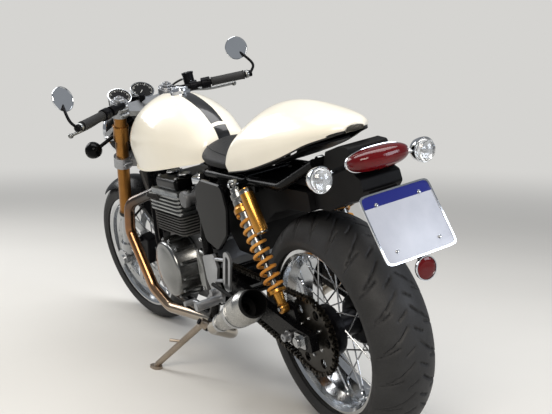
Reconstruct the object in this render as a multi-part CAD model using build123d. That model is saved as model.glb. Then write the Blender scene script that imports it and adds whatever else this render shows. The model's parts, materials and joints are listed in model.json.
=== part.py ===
"""Cafe racer motorcycle, parked on its side stand.

Every piece is modelled upright, in millimetres: +X forward from the rear contact point, +Y to the
rider's left, +Z up from the road. The last step turns the steering to where it is parked, leans the
machine onto its stand, stands both tyres on the floor and puts the origin under the middle of it.
"""
from build123d import *
import math
import os

# Driving dimensions of the chassis
WHEELBASE = 1415.0
RAKE = 22.8
TRAIL = 92.0
LEAN = 11.47
PARKED_STEER = 9.2
SEAT_RAIL_Z = 722.0
CLEAR = 0.3

# Wheels: tyre outer radius and half width, and the bead seat that both 17 inch rims share
FRONT_RADIUS, FRONT_HALF = 300.0, 60.0
REAR_RADIUS, REAR_HALF = 318.0, 92.0
BEAD_SEAT = 220.5
RIM_WALL = 6.0
FLANGE_HEIGHT = 11.5
CASING = 8.0
SPOKES_PER_SIDE = 16
SPOKE_RADIUS = 2.2
NIPPLE_RADIUS, NIPPLE_LENGTH = 3.3, 13.0
SPOKE_SWEEP = 50.0
AXLE_RADIUS = 12.5

# Steering head and fork
HEAD_LOW_Z, HEAD_TOP_Z = 735.0, 862.0
HEAD_RADIUS, STEM_RADIUS = 31.0, 15.0
FORK_SPREAD = 103.0
FORK_TUBE_RADIUS, FORK_SLIDER_RADIUS = 23.5, 19.0
FORK_TOP_Z, FORK_TUBE_LOW_Z = 930.0, 492.0
FOOT_HALF, FOOT_RISE = 28.0, 13.2175
STEER_LOCK = 28.0
YOKE_THICK = 26.0
TOP_YOKE_Z, LOW_YOKE_Z = 880.0, 708.0

# Rear end
PIVOT_X, PIVOT_Z = 470.0, 400.0
FRAME_BACK_X = 508.0
ARM_INNER, ARM_OUTER = 118.0, 142.0
SPOOL_X, SPOOL_RADIUS = 62.0, 12.0
SPOOL_LENGTH, SPOOL_HOLE, SPOOL_DEPTH = 20.0, 4.0, 17.0
CHAIN_Y, CHAIN_PITCH = 104.0, 15.875
FRONT_TEETH, REAR_TEETH = 17, 42
OUTPUT_X, OUTPUT_Z = 575.0, 400.0
SHOCK_TOP = (229.0, 144.0, 724.0)
SHOCK_LOW = (62.0, 144.0, 398.0)

# Engine
CRANK_X, CRANK_Z = 796.0, 377.0
CASE_HALF = 90.0
BARREL_X0, BARREL_X1, BARREL_HALF = 662.0, 892.0, 148.0
BARREL_Z0, HEAD_Z0, HEAD_Z1, COVER_Z1 = 498.0, 570.0, 648.0, 688.0
PORT_Z, INTAKE_Z, INTAKE_STUB = 614.0, 628.0, 14.0
FIN_THICK, FIN_PITCH, FIN_DEPTH = 3.0, 9.5, 16.0
TUBE_RADIUS = 16.0
THROTTLE_Y = 78.0

rake = math.radians(RAKE)
STEER_UP = Vector(-math.sin(rake), 0, math.cos(rake))
STEER_FWD = Vector(math.cos(rake), 0, math.sin(rake))
FRONT_AXLE = Vector(WHEELBASE, 0, FRONT_RADIUS)
REAR_AXLE = Vector(0, 0, REAR_RADIUS)
STEER_FOOT = Vector(WHEELBASE + TRAIL, 0, 0)


def on_steering_axis(height):
    """The point of the steering axis at a height above the road."""
    return STEER_FOOT + STEER_UP * (height / math.cos(rake))


FORK_OFFSET = (FRONT_AXLE - STEER_FOOT).dot(STEER_FWD)


def on_fork(height, side=1):
    """The point of a fork leg's centre line at about that height, side +1 for the left leg."""
    return on_steering_axis(height) + STEER_FWD * FORK_OFFSET + Vector(0, side * FORK_SPREAD, 0)


def axle_end(side):
    """The middle of a fork foot, a little up the leg from the axle."""
    return FRONT_AXLE + STEER_UP * FOOT_RISE + Vector(0, side * FORK_SPREAD, 0)


def fork_point(forward, across, height):
    """A point by its distance ahead of the steering axis, across it and along it."""
    return STEER_FOOT + STEER_FWD * forward + STEER_UP * height + Vector(0, across, 0)


def rod(start, end, radius, end_radius=None):
    """A round bar or cone between two points."""
    start, end = Vector(start), Vector(end)
    plane = Plane(origin=start, z_dir=end - start)
    length = (end - start).length
    if end_radius is None or end_radius == radius:
        return extrude(plane * Circle(radius), amount=length)
    return loft([plane * Circle(radius), plane.offset(length) * Circle(end_radius)])


def tube(points, radius, bend=45.0):
    """A round tube bent along a line of points."""
    points = [Vector(p) for p in points]
    path = FilletPolyline(*points, radius=bend) if len(points) > 2 else Line(*points)
    return sweep(Plane(origin=path @ 0, z_dir=path % 0) * Circle(radius), path=path)


def turned(points, axis_point=(0, 0, 0)):
    """A solid of revolution about the Y direction, from points of (y, radius)."""
    face = Plane.YZ * make_face(Polyline(*points, close=True))
    return Pos(*axis_point) * revolve(face, axis=Axis.Y)


def slab(points, low_y, high_y, rounding=0.0):
    """A plate cut to an outline of (x, z), from low_y to high_y."""
    outline = Polygon(*points, align=None)
    if rounding:
        outline = fillet(outline.vertices(), rounding)
    plane = Plane(origin=(0, high_y, 0), x_dir=(1, 0, 0), z_dir=(0, -1, 0))
    return extrude(plane * outline, amount=high_y - low_y, dir=(0, -1, 0))


def block(low, high, rounding=0.0):
    """A box between two corners."""
    size = [h - l for l, h in zip(low, high)]
    made = Pos(*[(l + h) / 2 for l, h in zip(low, high)]) * Box(*size)
    return fillet(made.edges(), rounding) if rounding else made


def both(shape):
    """The shape and its mirror image on the other side."""
    return Part() + [shape, mirror(shape, about=Plane.XZ)]


def cross_section(x, half_low, half_mid, half_top, z_low, z_mid, z_shoulder, z_top):
    """One section of a skinned body: flat underside, two bowed sides and a crowned top."""
    low_l, low_r = (x, half_low, z_low), (x, -half_low, z_low)
    top_l, top_r = (x, half_top, z_shoulder), (x, -half_top, z_shoulder)
    return Wire([
        Edge.make_line(low_r, low_l),
        Edge.make_three_point_arc(low_l, (x, half_mid, z_mid), top_l),
        Edge.make_three_point_arc(top_l, (x, 0, z_top), top_r),
        Edge.make_three_point_arc(top_r, (x, -half_mid, z_mid), low_r),
    ])


def skinned(table):
    """A body skinned over sections, one row of the table for each."""
    return Solid.make_loft([cross_section(*row) for row in table])


# Wheels

def tyre(radius, half):
    """A road tyre: crowned tread, bowed sidewalls and an open inside."""
    edge = radius - 0.62 * half
    bead = half * 0.78
    lip = BEAD_SEAT + FLANGE_HEIGHT + 1.5
    outer = [
        ThreePointArc((-half, edge), (0, radius), (half, edge)),
        ThreePointArc((half, edge), (half * 0.985, edge * 0.6 + lip * 0.4), (bead, lip)),
        Line((bead, lip), (bead, BEAD_SEAT + CLEAR)),
        Line((bead, BEAD_SEAT + CLEAR), (bead - 2 * CASING, BEAD_SEAT + CLEAR)),
        Line((bead - 2 * CASING, BEAD_SEAT + CLEAR), (half - CASING * 1.6, edge - CASING)),
        ThreePointArc((half - CASING * 1.6, edge - CASING), (0, radius - 1.4 * CASING),
                      (-half + CASING * 1.6, edge - CASING)),
        Line((-half + CASING * 1.6, edge - CASING), (-bead + 2 * CASING, BEAD_SEAT + CLEAR)),
        Line((-bead + 2 * CASING, BEAD_SEAT + CLEAR), (-bead, BEAD_SEAT + CLEAR)),
        Line((-bead, BEAD_SEAT + CLEAR), (-bead, lip)),
        ThreePointArc((-bead, lip), (-half * 0.985, edge * 0.6 + lip * 0.4), (-half, edge)),
    ]
    return revolve(Plane.YZ * make_face(Wire([e.edge() if hasattr(e, "edge") else e for e in outer])),
                   axis=Axis.Y)


def rim(half):
    """A drop-centre rim whose flanges hold a tyre of that half width."""
    bead = half * 0.78 + CLEAR
    top = BEAD_SEAT + FLANGE_HEIGHT
    well = half * 0.34
    side = [
        (bead + 3.2, top), (bead, top), (bead, BEAD_SEAT), (bead - 17, BEAD_SEAT),
        (well, BEAD_SEAT - 14),
    ]
    inner = [
        (well - 3, BEAD_SEAT - 14 - RIM_WALL), (bead - 19, BEAD_SEAT - RIM_WALL - 3),
        (bead - 4, BEAD_SEAT - RIM_WALL), (bead + 3.2, BEAD_SEAT + 2),
    ]
    outline = side + [(-y, r) for y, r in reversed(side)] + [(-y, r) for y, r in reversed(inner)] + inner
    return turned(outline)


RIM_INNER = BEAD_SEAT - 14 - RIM_WALL


def spoke_set(flange_y, flange_radius, rim_y):
    """Crossed wire spokes, each with its nipple just short of the rim."""
    spokes = []
    for side in (1, -1):
        for i in range(SPOKES_PER_SIDE):
            lead = 1 if i % 2 else -1
            rim_angle = math.radians((i + 0.25 * side) * 360 / SPOKES_PER_SIDE)
            hub_angle = rim_angle - lead * math.radians(SPOKE_SWEEP)
            hub_y = side * (flange_y + lead * 2.0)
            start = Vector(flange_radius * math.cos(hub_angle), hub_y, flange_radius * math.sin(hub_angle))
            reach = RIM_INNER - 1.5
            end = Vector(reach * math.cos(rim_angle), side * rim_y, reach * math.sin(rim_angle))
            run = (end - start).normalized()
            spokes.append(rod(start, end, SPOKE_RADIUS))
            spokes.append(rod(end - run * NIPPLE_LENGTH, end, NIPPLE_RADIUS))
    return spokes


def wheel_hub(profile, flange_y, flange_radius, rim_y):
    """A turned hub with its spokes."""
    return turned(profile).fuse(*[s.solid() for s in spoke_set(flange_y, flange_radius, rim_y)])


HUB_BORE = AXLE_RADIUS + CLEAR
FRONT_FLANGE_Y, FRONT_FLANGE_R = 32.0, 46.0
FRONT_HUB_END = 52.0
front_hub_profile = [
    (-FRONT_HUB_END, HUB_BORE), (-FRONT_HUB_END, 34), (-37, 34), (-37, 52), (-28, 52), (-24, 26),
    (24, 26), (28, 52), (37, 52), (37, 34), (FRONT_HUB_END, 34), (FRONT_HUB_END, HUB_BORE),
]
REAR_FLANGE_Y, REAR_FLANGE_R = 44.0, 62.0
REAR_HUB_LEFT, REAR_HUB_RIGHT = 100.0 - CLEAR, 84.0
rear_hub_profile = [
    (-REAR_HUB_RIGHT, HUB_BORE), (-REAR_HUB_RIGHT, 40), (-58, 40), (-48, 70), (-40, 70), (-34, 36),
    (34, 36), (40, 70), (50, 72), (64, 72), (70, 60), (REAR_HUB_LEFT, 60), (REAR_HUB_LEFT, HUB_BORE),
]

# Brake discs: y of the inboard face, outer and inner radius
DISC_THICK = 5.0
FRONT_DISC_Y, FRONT_DISC_R = FRONT_HUB_END + CLEAR, 155.0
REAR_DISC_Y, REAR_DISC_R = REAR_HUB_RIGHT + CLEAR, 110.0


def brake_disc(radius, band, bolt_circle):
    """A floating disc: drilled friction band on a five-armed carrier."""
    ring = Circle(radius) - Circle(radius - band)
    arms = Circle(bolt_circle + 12) - Circle(HUB_BORE + 6)
    for i in range(5):
        arms += Rot(0, 0, 72 * i) * (Pos((radius - band + bolt_circle) / 2, 0) *
                                    Rectangle(radius - band - bolt_circle + 24, 24))
    holes = [Rot(0, 0, 18 * i + 9 * (i % 2)) * (Pos(radius - band * (0.3 + 0.4 * (i % 2)), 0) * Circle(3.5))
             for i in range(20)]
    plate = ring + (arms & Circle(radius - band + 2)) - holes
    return extrude(Plane.XZ * plate, amount=DISC_THICK, dir=(0, 1, 0))


def sprocket(teeth, thick, bore, windows=0):
    """A chain sprocket whose teeth stand between the chain's plates."""
    pitch_radius = CHAIN_PITCH / (2 * math.sin(math.pi / teeth))
    root, tip = pitch_radius - 4.6, pitch_radius + 3.4
    points = []
    for i in range(teeth):
        for share, radius in ((0.0, root), (0.22, root), (0.42, tip), (0.58, tip), (0.78, root)):
            angle = 2 * math.pi * (i + share) / teeth
            points.append((radius * math.cos(angle), radius * math.sin(angle)))
    plate = Polygon(*points, align=None) - Circle(bore)
    for i in range(windows):
        plate -= Rot(0, 0, 360 / windows * i) * (Pos((root + 60) / 2 - 2, 0) * Circle((root - 60) / 2 - 7))
    return extrude(Plane.XZ * plate, amount=thick, dir=(0, 1, 0))


SPROCKET_THICK = 8.0
CHAIN_GAP = 0.8
front_disc = Pos(0, FRONT_DISC_Y, 0) * brake_disc(FRONT_DISC_R, 34.0, 34.0)
rear_disc = Pos(0, -REAR_DISC_Y - DISC_THICK, 0) * brake_disc(REAR_DISC_R, 30.0, 34.0)
rear_sprocket = Pos(0, CHAIN_Y - SPROCKET_THICK / 2, 0) * sprocket(REAR_TEETH, SPROCKET_THICK, HUB_BORE + 8, 6)


def chain():
    """The drive chain as one fixed loop: two rows of side plates on their pins."""
    rear_pitch = CHAIN_PITCH / (2 * math.sin(math.pi / REAR_TEETH))
    front_pitch = CHAIN_PITCH / (2 * math.sin(math.pi / FRONT_TEETH))
    half_plate = 7.0
    gap = math.hypot(OUTPUT_X, OUTPUT_Z - REAR_RADIUS)
    line_angle = math.atan2(OUTPUT_Z - REAR_RADIUS, OUTPUT_X)
    wrap = math.asin((rear_pitch - front_pitch) / gap)

    def loop(offset):
        ends = []
        for turn in (1, -1):
            normal = line_angle + turn * (math.pi / 2 - wrap)
            ends.append([(cx + (r + offset) * math.cos(normal), cz + (r + offset) * math.sin(normal))
                         for cx, cz, r in ((0, REAR_RADIUS, rear_pitch), (OUTPUT_X, OUTPUT_Z, front_pitch))])
        (ru, fu), (rl, fl) = ends
        rear_far = (-(rear_pitch + offset) * math.cos(line_angle),
                    REAR_RADIUS - (rear_pitch + offset) * math.sin(line_angle))
        front_far = (OUTPUT_X + (front_pitch + offset) * math.cos(line_angle),
                     OUTPUT_Z + (front_pitch + offset) * math.sin(line_angle))
        return make_face([Line(ru, fu), ThreePointArc(fu, front_far, fl), Line(fl, rl),
                          ThreePointArc(rl, rear_far, ru)]), ends

    outer, _ = loop(half_plate)
    inner, _ = loop(-half_plate)
    _, ends = loop(0.0)
    band = outer - inner
    inside = SPROCKET_THICK / 2 + CHAIN_GAP
    rows = []
    for low in (inside, -inside - 3.6):
        plane = Plane(origin=(0, CHAIN_Y + low + 3.6, 0), x_dir=(1, 0, 0), z_dir=(0, -1, 0))
        rows.append(extrude(plane * band, amount=3.6, dir=(0, -1, 0)))
    pins = []
    for (rx, rz), (fx, fz) in ends:
        for share in [0.13 + 0.058 * i for i in range(14)]:
            x, z = rx + (fx - rx) * share, rz + (fz - rz) * share
            if math.hypot(x, z - REAR_RADIUS) > rear_pitch + 14:
                pins.append(rod((x, CHAIN_Y - inside - 2, z), (x, CHAIN_Y + inside + 2, z), 4.6))
    return rows[0].fuse(rows[1], *pins)


# Placing: turn the steering, lean, level the tyres, and centre the footprint

def crown_radius(radius, half):
    """Radius of the tread's arc across a tyre."""
    drop = 0.62 * half
    return (half * half + drop * drop) / (2 * drop)


REAR_CROWN = crown_radius(REAR_RADIUS, REAR_HALF)
FRONT_CROWN = crown_radius(FRONT_RADIUS, FRONT_HALF)


def lowest_of_wheel(centre, axis, radius, crown):
    """Lowest point of a wheel whose tread is an arc of that crown radius."""
    return centre.Z - (radius - crown) * math.sqrt(1 - axis.Z ** 2) - crown


def turn(vector, axis, degrees):
    """A vector turned about an axis through the origin."""
    a = math.radians(degrees)
    return vector * math.cos(a) + axis.cross(vector) * math.sin(a) + axis * (axis.dot(vector) * (1 - math.cos(a)))


def parked_wheel_lows(pitch):
    front_centre = STEER_FOOT + turn(FRONT_AXLE - STEER_FOOT, STEER_UP, PARKED_STEER)
    front_spin = turn(Vector(0, 1, 0), STEER_UP, PARKED_STEER)
    lows = []
    for centre, spin, radius, crown in ((REAR_AXLE, Vector(0, 1, 0), REAR_RADIUS, REAR_CROWN),
                                        (front_centre, front_spin, FRONT_RADIUS, FRONT_CROWN)):
        c = turn(turn(centre, Vector(1, 0, 0), -LEAN), Vector(0, 1, 0), pitch)
        s = turn(turn(spin, Vector(1, 0, 0), -LEAN), Vector(0, 1, 0), pitch)
        lows.append(lowest_of_wheel(c, s, radius, crown))
    return lows


pitch = 0.0
for _ in range(6):
    rear_low, front_low = parked_wheel_lows(pitch)
    pitch += math.degrees((front_low - rear_low) / WHEELBASE)
RISE = -parked_wheel_lows(pitch)[0]
steer_turn = Location(STEER_FOOT) * Location((0, 0, 0), tuple(STEER_UP), PARKED_STEER) * Location(STEER_FOOT * -1)
lean_over = Pos(0, 0, RISE) * Location((0, 0, 0), (0, 1, 0), pitch) * Location((0, 0, 0), (1, 0, 0), -LEAN)


# Frame

def frame():
    """Steering head, backbone with the tank's rubber mounts, twin cradle and the swingarm's plates."""
    head = rod(on_steering_axis(HEAD_LOW_Z), on_steering_axis(HEAD_TOP_Z), HEAD_RADIUS)
    head -= rod(on_steering_axis(HEAD_LOW_Z - 20), on_steering_axis(HEAD_TOP_Z + 20), STEM_RADIUS + CLEAR)
    neck = on_steering_axis(800)
    backbone = rod((neck.X - 24, 0, 796), (FRAME_BACK_X, 0, 710), 27)
    cross = rod((FRAME_BACK_X, -102, SEAT_RAIL_Z), (FRAME_BACK_X, 102, SEAT_RAIL_Z), TUBE_RADIUS - 3)
    puck_reach = TANK_TUNNEL_HALF - CLEAR
    pucks = [rod((x, -puck_reach, z), (x, puck_reach, z), 13) for x, z in ((1050, 783), (600, 722))]
    made = [backbone, cross, *pucks]
    for side in (1, -1):
        cradle = [(on_steering_axis(760).X - 20, side * 22, 752), (1012, side * 104, 430),
                  (950, side * 112, 246), (580, side * 132, 246), (FRAME_BACK_X + 14, side * 134, 330),
                  (FRAME_BACK_X + 14, side * 134, 520), (FRAME_BACK_X, side * 102, SEAT_RAIL_Z)]
        made.append(tube(cradle, TUBE_RADIUS, 50))
        low, high = sorted((side * (ARM_OUTER + 3), side * (ARM_OUTER + 11)))
        made.append(slab([(455, 375), (470, 445), (540, 470), (544, 330), (520, 312), (470, 335)],
                         low, high, 12))
    made.append(rod((PIVOT_X, -ARM_OUTER - 10, PIVOT_Z), (PIVOT_X, ARM_OUTER + 10, PIVOT_Z), 10))
    for z in (300.0, 520.0):
        made.append(rod((FRAME_BACK_X + 14, -126, z + 4), (FRAME_BACK_X + 14, 126, z + 4), 11))
    solid = head.fuse(*made)
    return solid


def subframe():
    """Seat rails with the upper shock mounts and the stays down to the cradle."""
    made = []
    for side in (1, -1):
        rail = [(488, side * 98, SEAT_RAIL_Z), (60, side * 92, SEAT_RAIL_Z), (-95, side * 70, 792)]
        made.append(tube(rail, 13, 80))
        made.append(tube([(502, side * 118, 490), (330, side * 96, SEAT_RAIL_Z)], 11))
        low, high = sorted((side * 84, side * 96))
        made.append(slab([(SHOCK_TOP[0] - 30, SEAT_RAIL_Z), (SHOCK_TOP[0] - 24, SEAT_RAIL_Z - 32),
                          (SHOCK_TOP[0] + 20, SEAT_RAIL_Z - 32), (SHOCK_TOP[0] + 36, SEAT_RAIL_Z)], low, high, 4))
        made.append(rod((SHOCK_TOP[0], side * 86, SHOCK_TOP[2]), (SHOCK_TOP[0], side * 160, SHOCK_TOP[2]), 7.5))
    for x, z in ((300.0, SEAT_RAIL_Z), (60.0, SEAT_RAIL_Z)):
        made.append(rod((x, -94, z), (x, 94, z), 9))
    made.append(rod((-90, -74, 790), (-90, 74, 790), 13))
    return made[0].fuse(*made[1:])


def stand_bracket():
    """Lug under the left cradle tube with the pin that the side stand turns on."""
    base = Vector(STAND_PIVOT) - STAND_AXIS * 14
    rise = (Vector(0, 0, 1) - STAND_AXIS * STAND_AXIS.Z).normalized()
    plane = Plane(origin=base, x_dir=rise, z_dir=STAND_AXIS * -1)
    plate = extrude(plane * (Circle(17) + Pos(23, 0) * Rectangle(46, 30)), amount=10)
    pin = rod(base - STAND_AXIS * 2, base + STAND_AXIS * 31, 6)
    head = rod(base + STAND_AXIS * (26 + CLEAR), base + STAND_AXIS * 31, 10)
    return plate.fuse(pin, head)


# Side stand: the foot's place is where the leaning machine meets the road
STAND_PIVOT = (606.0, 166.0, 224.0)
STAND_FOOT_X, STAND_FOOT_Y = 789.0, 297.0
FOLDED = Vector(-0.985, 0.13, 0.03).normalized()
FOOT_THICK, FOOT_LENGTH, FOOT_WIDTH = 9.0, 52.0, 34.0
STAND_SWEEP = 118.0


def from_floor(point):
    """A point of the parked machine's surroundings, back in the upright frame."""
    return (lean_over.inverse() * Location(tuple(point))).position


STAND_FOOT = from_floor((STAND_FOOT_X, STAND_FOOT_Y, FOOT_THICK))
FLOOR_UP = from_floor((0, 0, 1)) - from_floor((0, 0, 0))
STAND_RUN = (STAND_FOOT - Vector(STAND_PIVOT)).normalized()
STAND_AXIS = STAND_RUN.cross(FOLDED).normalized()


def side_stand():
    """The prop leg: an eye on the pin, a round leg and a flat foot that lies on the road."""
    pivot = Vector(STAND_PIVOT)
    eye = rod(pivot - STAND_AXIS * (14 - CLEAR), pivot + STAND_AXIS * 12, 16)
    leg = rod(pivot + STAND_RUN * 6, STAND_FOOT - STAND_RUN * 10, 11.5, 10.5)
    foot_plane = Plane(origin=STAND_FOOT - FLOOR_UP * FOOT_THICK, x_dir=STEER_FWD.cross(FLOOR_UP).cross(FLOOR_UP) * -1, z_dir=FLOOR_UP)
    foot = extrude(foot_plane * SlotOverall(FOOT_LENGTH, FOOT_WIDTH), amount=FOOT_THICK)
    neck = rod(STAND_FOOT - STAND_RUN * 16, STAND_FOOT - FLOOR_UP * (FOOT_THICK - 2), 10.5)
    tang_start = pivot + (STAND_FOOT - pivot) * 0.42
    tang = rod(tang_start, tang_start + Vector(26, 34, 10), 5)
    solid = eye.fuse(leg, foot, neck, tang)
    solid -= rod(pivot - STAND_AXIS * 40, pivot + STAND_AXIS * 40, 6 + CLEAR)
    floor = extrude(Plane(origin=STAND_FOOT - FLOOR_UP * FOOT_THICK, z_dir=FLOOR_UP * -1) * Rectangle(400, 400), amount=60)
    return solid - floor


# Swingarm, rear axle and shocks

def swingarm():
    """Box-section arms with axle slots, a cross brace and the lower shock lugs."""
    arms = []
    for side in (1, -1):
        low, high = sorted((side * ARM_INNER, side * ARM_OUTER))
        arms.append(slab([(PIVOT_X + 26, PIVOT_Z - 24), (PIVOT_X + 26, PIVOT_Z + 24), (PIVOT_X - 60, PIVOT_Z + 24),
                          (20, REAR_RADIUS + 30), (-48, REAR_RADIUS + 26), (-52, REAR_RADIUS - 24),
                          (30, REAR_RADIUS - 30), (PIVOT_X - 60, PIVOT_Z - 34)], low, high, 10))
        lug_x, lug_z = SHOCK_LOW[0], SHOCK_LOW[2]
        arms.append(slab([(lug_x + 30, lug_z - 66), (lug_x + 22, lug_z + 2), (lug_x, lug_z + 16), (lug_x - 22, lug_z + 2),
                          (lug_x - 38, lug_z - 66)], *sorted((side * ARM_INNER, side * (ARM_INNER + 10))), 8))
        arms.append(rod((SHOCK_LOW[0], side * (ARM_INNER + 2), SHOCK_LOW[2]),
                        (SHOCK_LOW[0], side * (SHOCK_LOW[1] + 15), SHOCK_LOW[2]), 7))
    arms.append(block((398, -ARM_INNER - 2, 366), (436, ARM_INNER + 2, 414), 5))
    arms.append(rod((PIVOT_X, -ARM_INNER - 4, PIVOT_Z), (PIVOT_X, ARM_INNER + 4, PIVOT_Z), 22))
    solid = arms[0].fuse(*arms[1:])
    solid -= rod((PIVOT_X, -200, PIVOT_Z), (PIVOT_X, 200, PIVOT_Z), 10 + CLEAR)
    return solid - rod((0, -200, REAR_RADIUS), (0, 200, REAR_RADIUS), AXLE_RADIUS + CLEAR)


def stand_spool():
    """Turned boss outside the arm, threaded for the bobbin that a paddock stand lifts by."""
    face = ARM_OUTER + CLEAR
    mouth = face + SPOOL_LENGTH
    boss = turned([(face, 0), (face, SPOOL_RADIUS + 4), (face + 4, SPOOL_RADIUS + 4), (face + 4, SPOOL_RADIUS),
                   (mouth - 1.5, SPOOL_RADIUS), (mouth, SPOOL_RADIUS - 1.5), (mouth, 0)], (SPOOL_X, 0, REAR_RADIUS - 2))
    return boss - rod((SPOOL_X, mouth - SPOOL_DEPTH, REAR_RADIUS - 2), (SPOOL_X, mouth + 5, REAR_RADIUS - 2), SPOOL_HOLE)


REAR_AXLE_LENGTH = 2 * (ARM_OUTER + 18)
CHAIN_ADJUSTER = 26.0
FRONT_AXLE_LENGTH = 2 * (FORK_SPREAD + FOOT_HALF + 6)


def rear_axle():
    """Spindle with its spacers, adjuster plates and nuts."""
    half = REAR_AXLE_LENGTH / 2
    made = rod((0, -half, REAR_RADIUS), (0, half, REAR_RADIUS), AXLE_RADIUS)
    parts = [
        rod((0, REAR_HUB_LEFT + 12, REAR_RADIUS), (0, ARM_INNER - CLEAR, REAR_RADIUS), 19),
        rod((0, -REAR_HUB_RIGHT - DISC_THICK - 4, REAR_RADIUS), (0, -ARM_INNER + CLEAR, REAR_RADIUS), 19),
    ]
    for side in (1, -1):
        start = side * (ARM_OUTER + CLEAR)
        low, high = sorted((start, start + side * 3))
        parts.append(slab([(-CHAIN_ADJUSTER, REAR_RADIUS - 20), (-CHAIN_ADJUSTER, REAR_RADIUS + 20),
                           (CHAIN_ADJUSTER, REAR_RADIUS + 20), (CHAIN_ADJUSTER, REAR_RADIUS - 20)], low, high, 8))
        hexagon = Plane(origin=(0, start + side * 3, REAR_RADIUS), z_dir=(0, side, 0)) * RegularPolygon(17, 6)
        parts.append(extrude(hexagon, amount=11))
    return made.fuse(*parts)


shock_top, shock_low = Vector(SHOCK_TOP), Vector(SHOCK_LOW)
SHOCK_RUN = (shock_low - shock_top).normalized()
SHOCK_LENGTH = (shock_low - shock_top).length
SPRING_START, SPRING_END = 84.0, 314.0
COIL_RADIUS, WIRE_RADIUS, COIL_TURNS = 22.5, 4.5, 9
EYE_HALF = 11.0


def shock_body():
    """Damper with its eyes, threaded sleeve, spring seats, rod and piggyback reservoir."""
    at = lambda s: shock_top + SHOCK_RUN * s
    top_eye = rod((shock_top.X, shock_top.Y - EYE_HALF, shock_top.Z), (shock_top.X, shock_top.Y + EYE_HALF, shock_top.Z), 15)
    low_eye = rod((shock_low.X, shock_low.Y - EYE_HALF, shock_low.Z), (shock_low.X, shock_low.Y + EYE_HALF, shock_low.Z), 15)
    pieces = [
        rod(at(10), at(30), 17), rod(at(26), at(SPRING_START - 10), 22), rod(at(SPRING_START - 14), at(200), 16.5),
        rod(at(SPRING_START - 12), at(SPRING_START - CLEAR), 28), rod(at(190), at(SHOCK_LENGTH - 12), 8),
        rod(at(SPRING_END + CLEAR), at(SPRING_END + 10), 27), rod(at(SPRING_END + 6), at(SHOCK_LENGTH - 8), 15, 11),
    ]
    back = Vector(-SHOCK_RUN.Z, 0, SHOCK_RUN.X) * -1
    back = back if back.X < 0 else back * -1
    shift = back * 53
    pieces += [rod(at(40) + shift, at(158) + shift, 19), rod(at(34) + shift, at(40) + shift, 16),
               rod(at(158) + shift, at(164) + shift, 15), rod(at(50), at(50) + shift, 14)]
    solid = top_eye.fuse(low_eye, *pieces)
    solid -= rod((shock_top.X, 0, shock_top.Z), (shock_top.X, 300, shock_top.Z), 7.5 + CLEAR)
    return solid - rod((shock_low.X, 0, shock_low.Z), (shock_low.X, 300, shock_low.Z), 7 + CLEAR)


def shock_spring():
    """A coil spring whose wire runs in half turns, each a tilted arc."""
    pitch = (SPRING_END - SPRING_START - 2 * WIRE_RADIUS) / COIL_TURNS
    place = Plane(origin=shock_top + SHOCK_RUN * (SPRING_START + WIRE_RADIUS), x_dir=(0, 1, 0), z_dir=SHOCK_RUN)
    arcs = []
    for i in range(2 * COIL_TURNS):
        s = 1 if i % 2 == 0 else -1
        z = i * pitch / 2
        arcs.append(Edge.make_three_point_arc((s * COIL_RADIUS, 0, z), (0, s * COIL_RADIUS, z + pitch / 4),
                                              (-s * COIL_RADIUS, 0, z + pitch / 2)))
    path = Wire(arcs)
    section = Plane(origin=(COIL_RADIUS, 0, 0), z_dir=(0, 1, 0)) * Circle(WIRE_RADIUS)
    return place.location * sweep(section, path=path)


# Engine

def crankcase():
    """The closed lower engine with its gearbox, sump and output sprocket."""
    outline = [(566, 338), (600, 272), (770, 262), (905, 270), (948, 330), (962, 420), (905, 492), (880, BARREL_Z0),
               (640, BARREL_Z0), (560, 486), (545, 420)]
    case = slab(outline, -CASE_HALF, CASE_HALF, 14)
    sump = block((660, -60, 240), (860, 60, 275), 8)
    shaft = rod((OUTPUT_X, CASE_HALF - 5, OUTPUT_Z), (OUTPUT_X, CHAIN_Y + 10, OUTPUT_Z), 13)
    cog = Pos(OUTPUT_X, CHAIN_Y - SPROCKET_THICK / 2, OUTPUT_Z) * sprocket(FRONT_TEETH, SPROCKET_THICK, 10)
    oil_filter = rod((930, 0, 330), (985, 0, 318), 34)
    starter = rod((918, -60, 500), (918, 60, 500), 26)
    mount = block((905, -116, 395), (982, 116, 425), 4)
    return case.fuse(sump, shaft, cog, oil_filter, starter, mount)


def finned_stack(x0, x1, half, z0, z1, core_inset, thick, pitch):
    """A core with level cooling fins round it."""
    core = block((x0 + core_inset, -half + core_inset, z0), (x1 - core_inset, half - core_inset, z1))
    fins = []
    z = z0 + (pitch - thick)
    while z + thick <= z1 - 0.5:
        outline = fillet(Rectangle(x1 - x0, 2 * half).vertices(), 18)
        fins.append(Pos((x0 + x1) / 2, 0, z) * extrude(outline, amount=thick))
        z += pitch
    return core.fuse(*fins)


def cylinder_block():
    return finned_stack(BARREL_X0, BARREL_X1, BARREL_HALF, BARREL_Z0 + CLEAR, HEAD_Z0 - CLEAR, FIN_DEPTH, FIN_THICK, FIN_PITCH)


def cylinder_head():
    """Head with deep fins, exhaust flanges and a ribbed camshaft cover."""
    head = finned_stack(BARREL_X0 - 6, BARREL_X1 + 8, BARREL_HALF + 6, HEAD_Z0, HEAD_Z1, FIN_DEPTH - 4, 5.5, 13.0)
    cover = block((BARREL_X0 + 26, -BARREL_HALF + 14, HEAD_Z1 - 2), (BARREL_X1 - 34, BARREL_HALF - 14, COVER_Z1), 14)
    domes = []
    for y in (-THROTTLE_Y, THROTTLE_Y):
        for x in (BARREL_X0 + 62, BARREL_X1 - 70):
            domes.append(rod((x, y, COVER_Z1 - 6), (x, y, COVER_Z1 + 7), 24, 20))
        domes.append(rod((BARREL_X1 - 20, y, PORT_Z), (BARREL_X1 + 18, y, PORT_Z), 32))
        domes.append(rod((BARREL_X0 - INTAKE_STUB, y, INTAKE_Z), (BARREL_X0 + 20, y, INTAKE_Z), 30))
    return head.fuse(cover, *domes)


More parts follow.
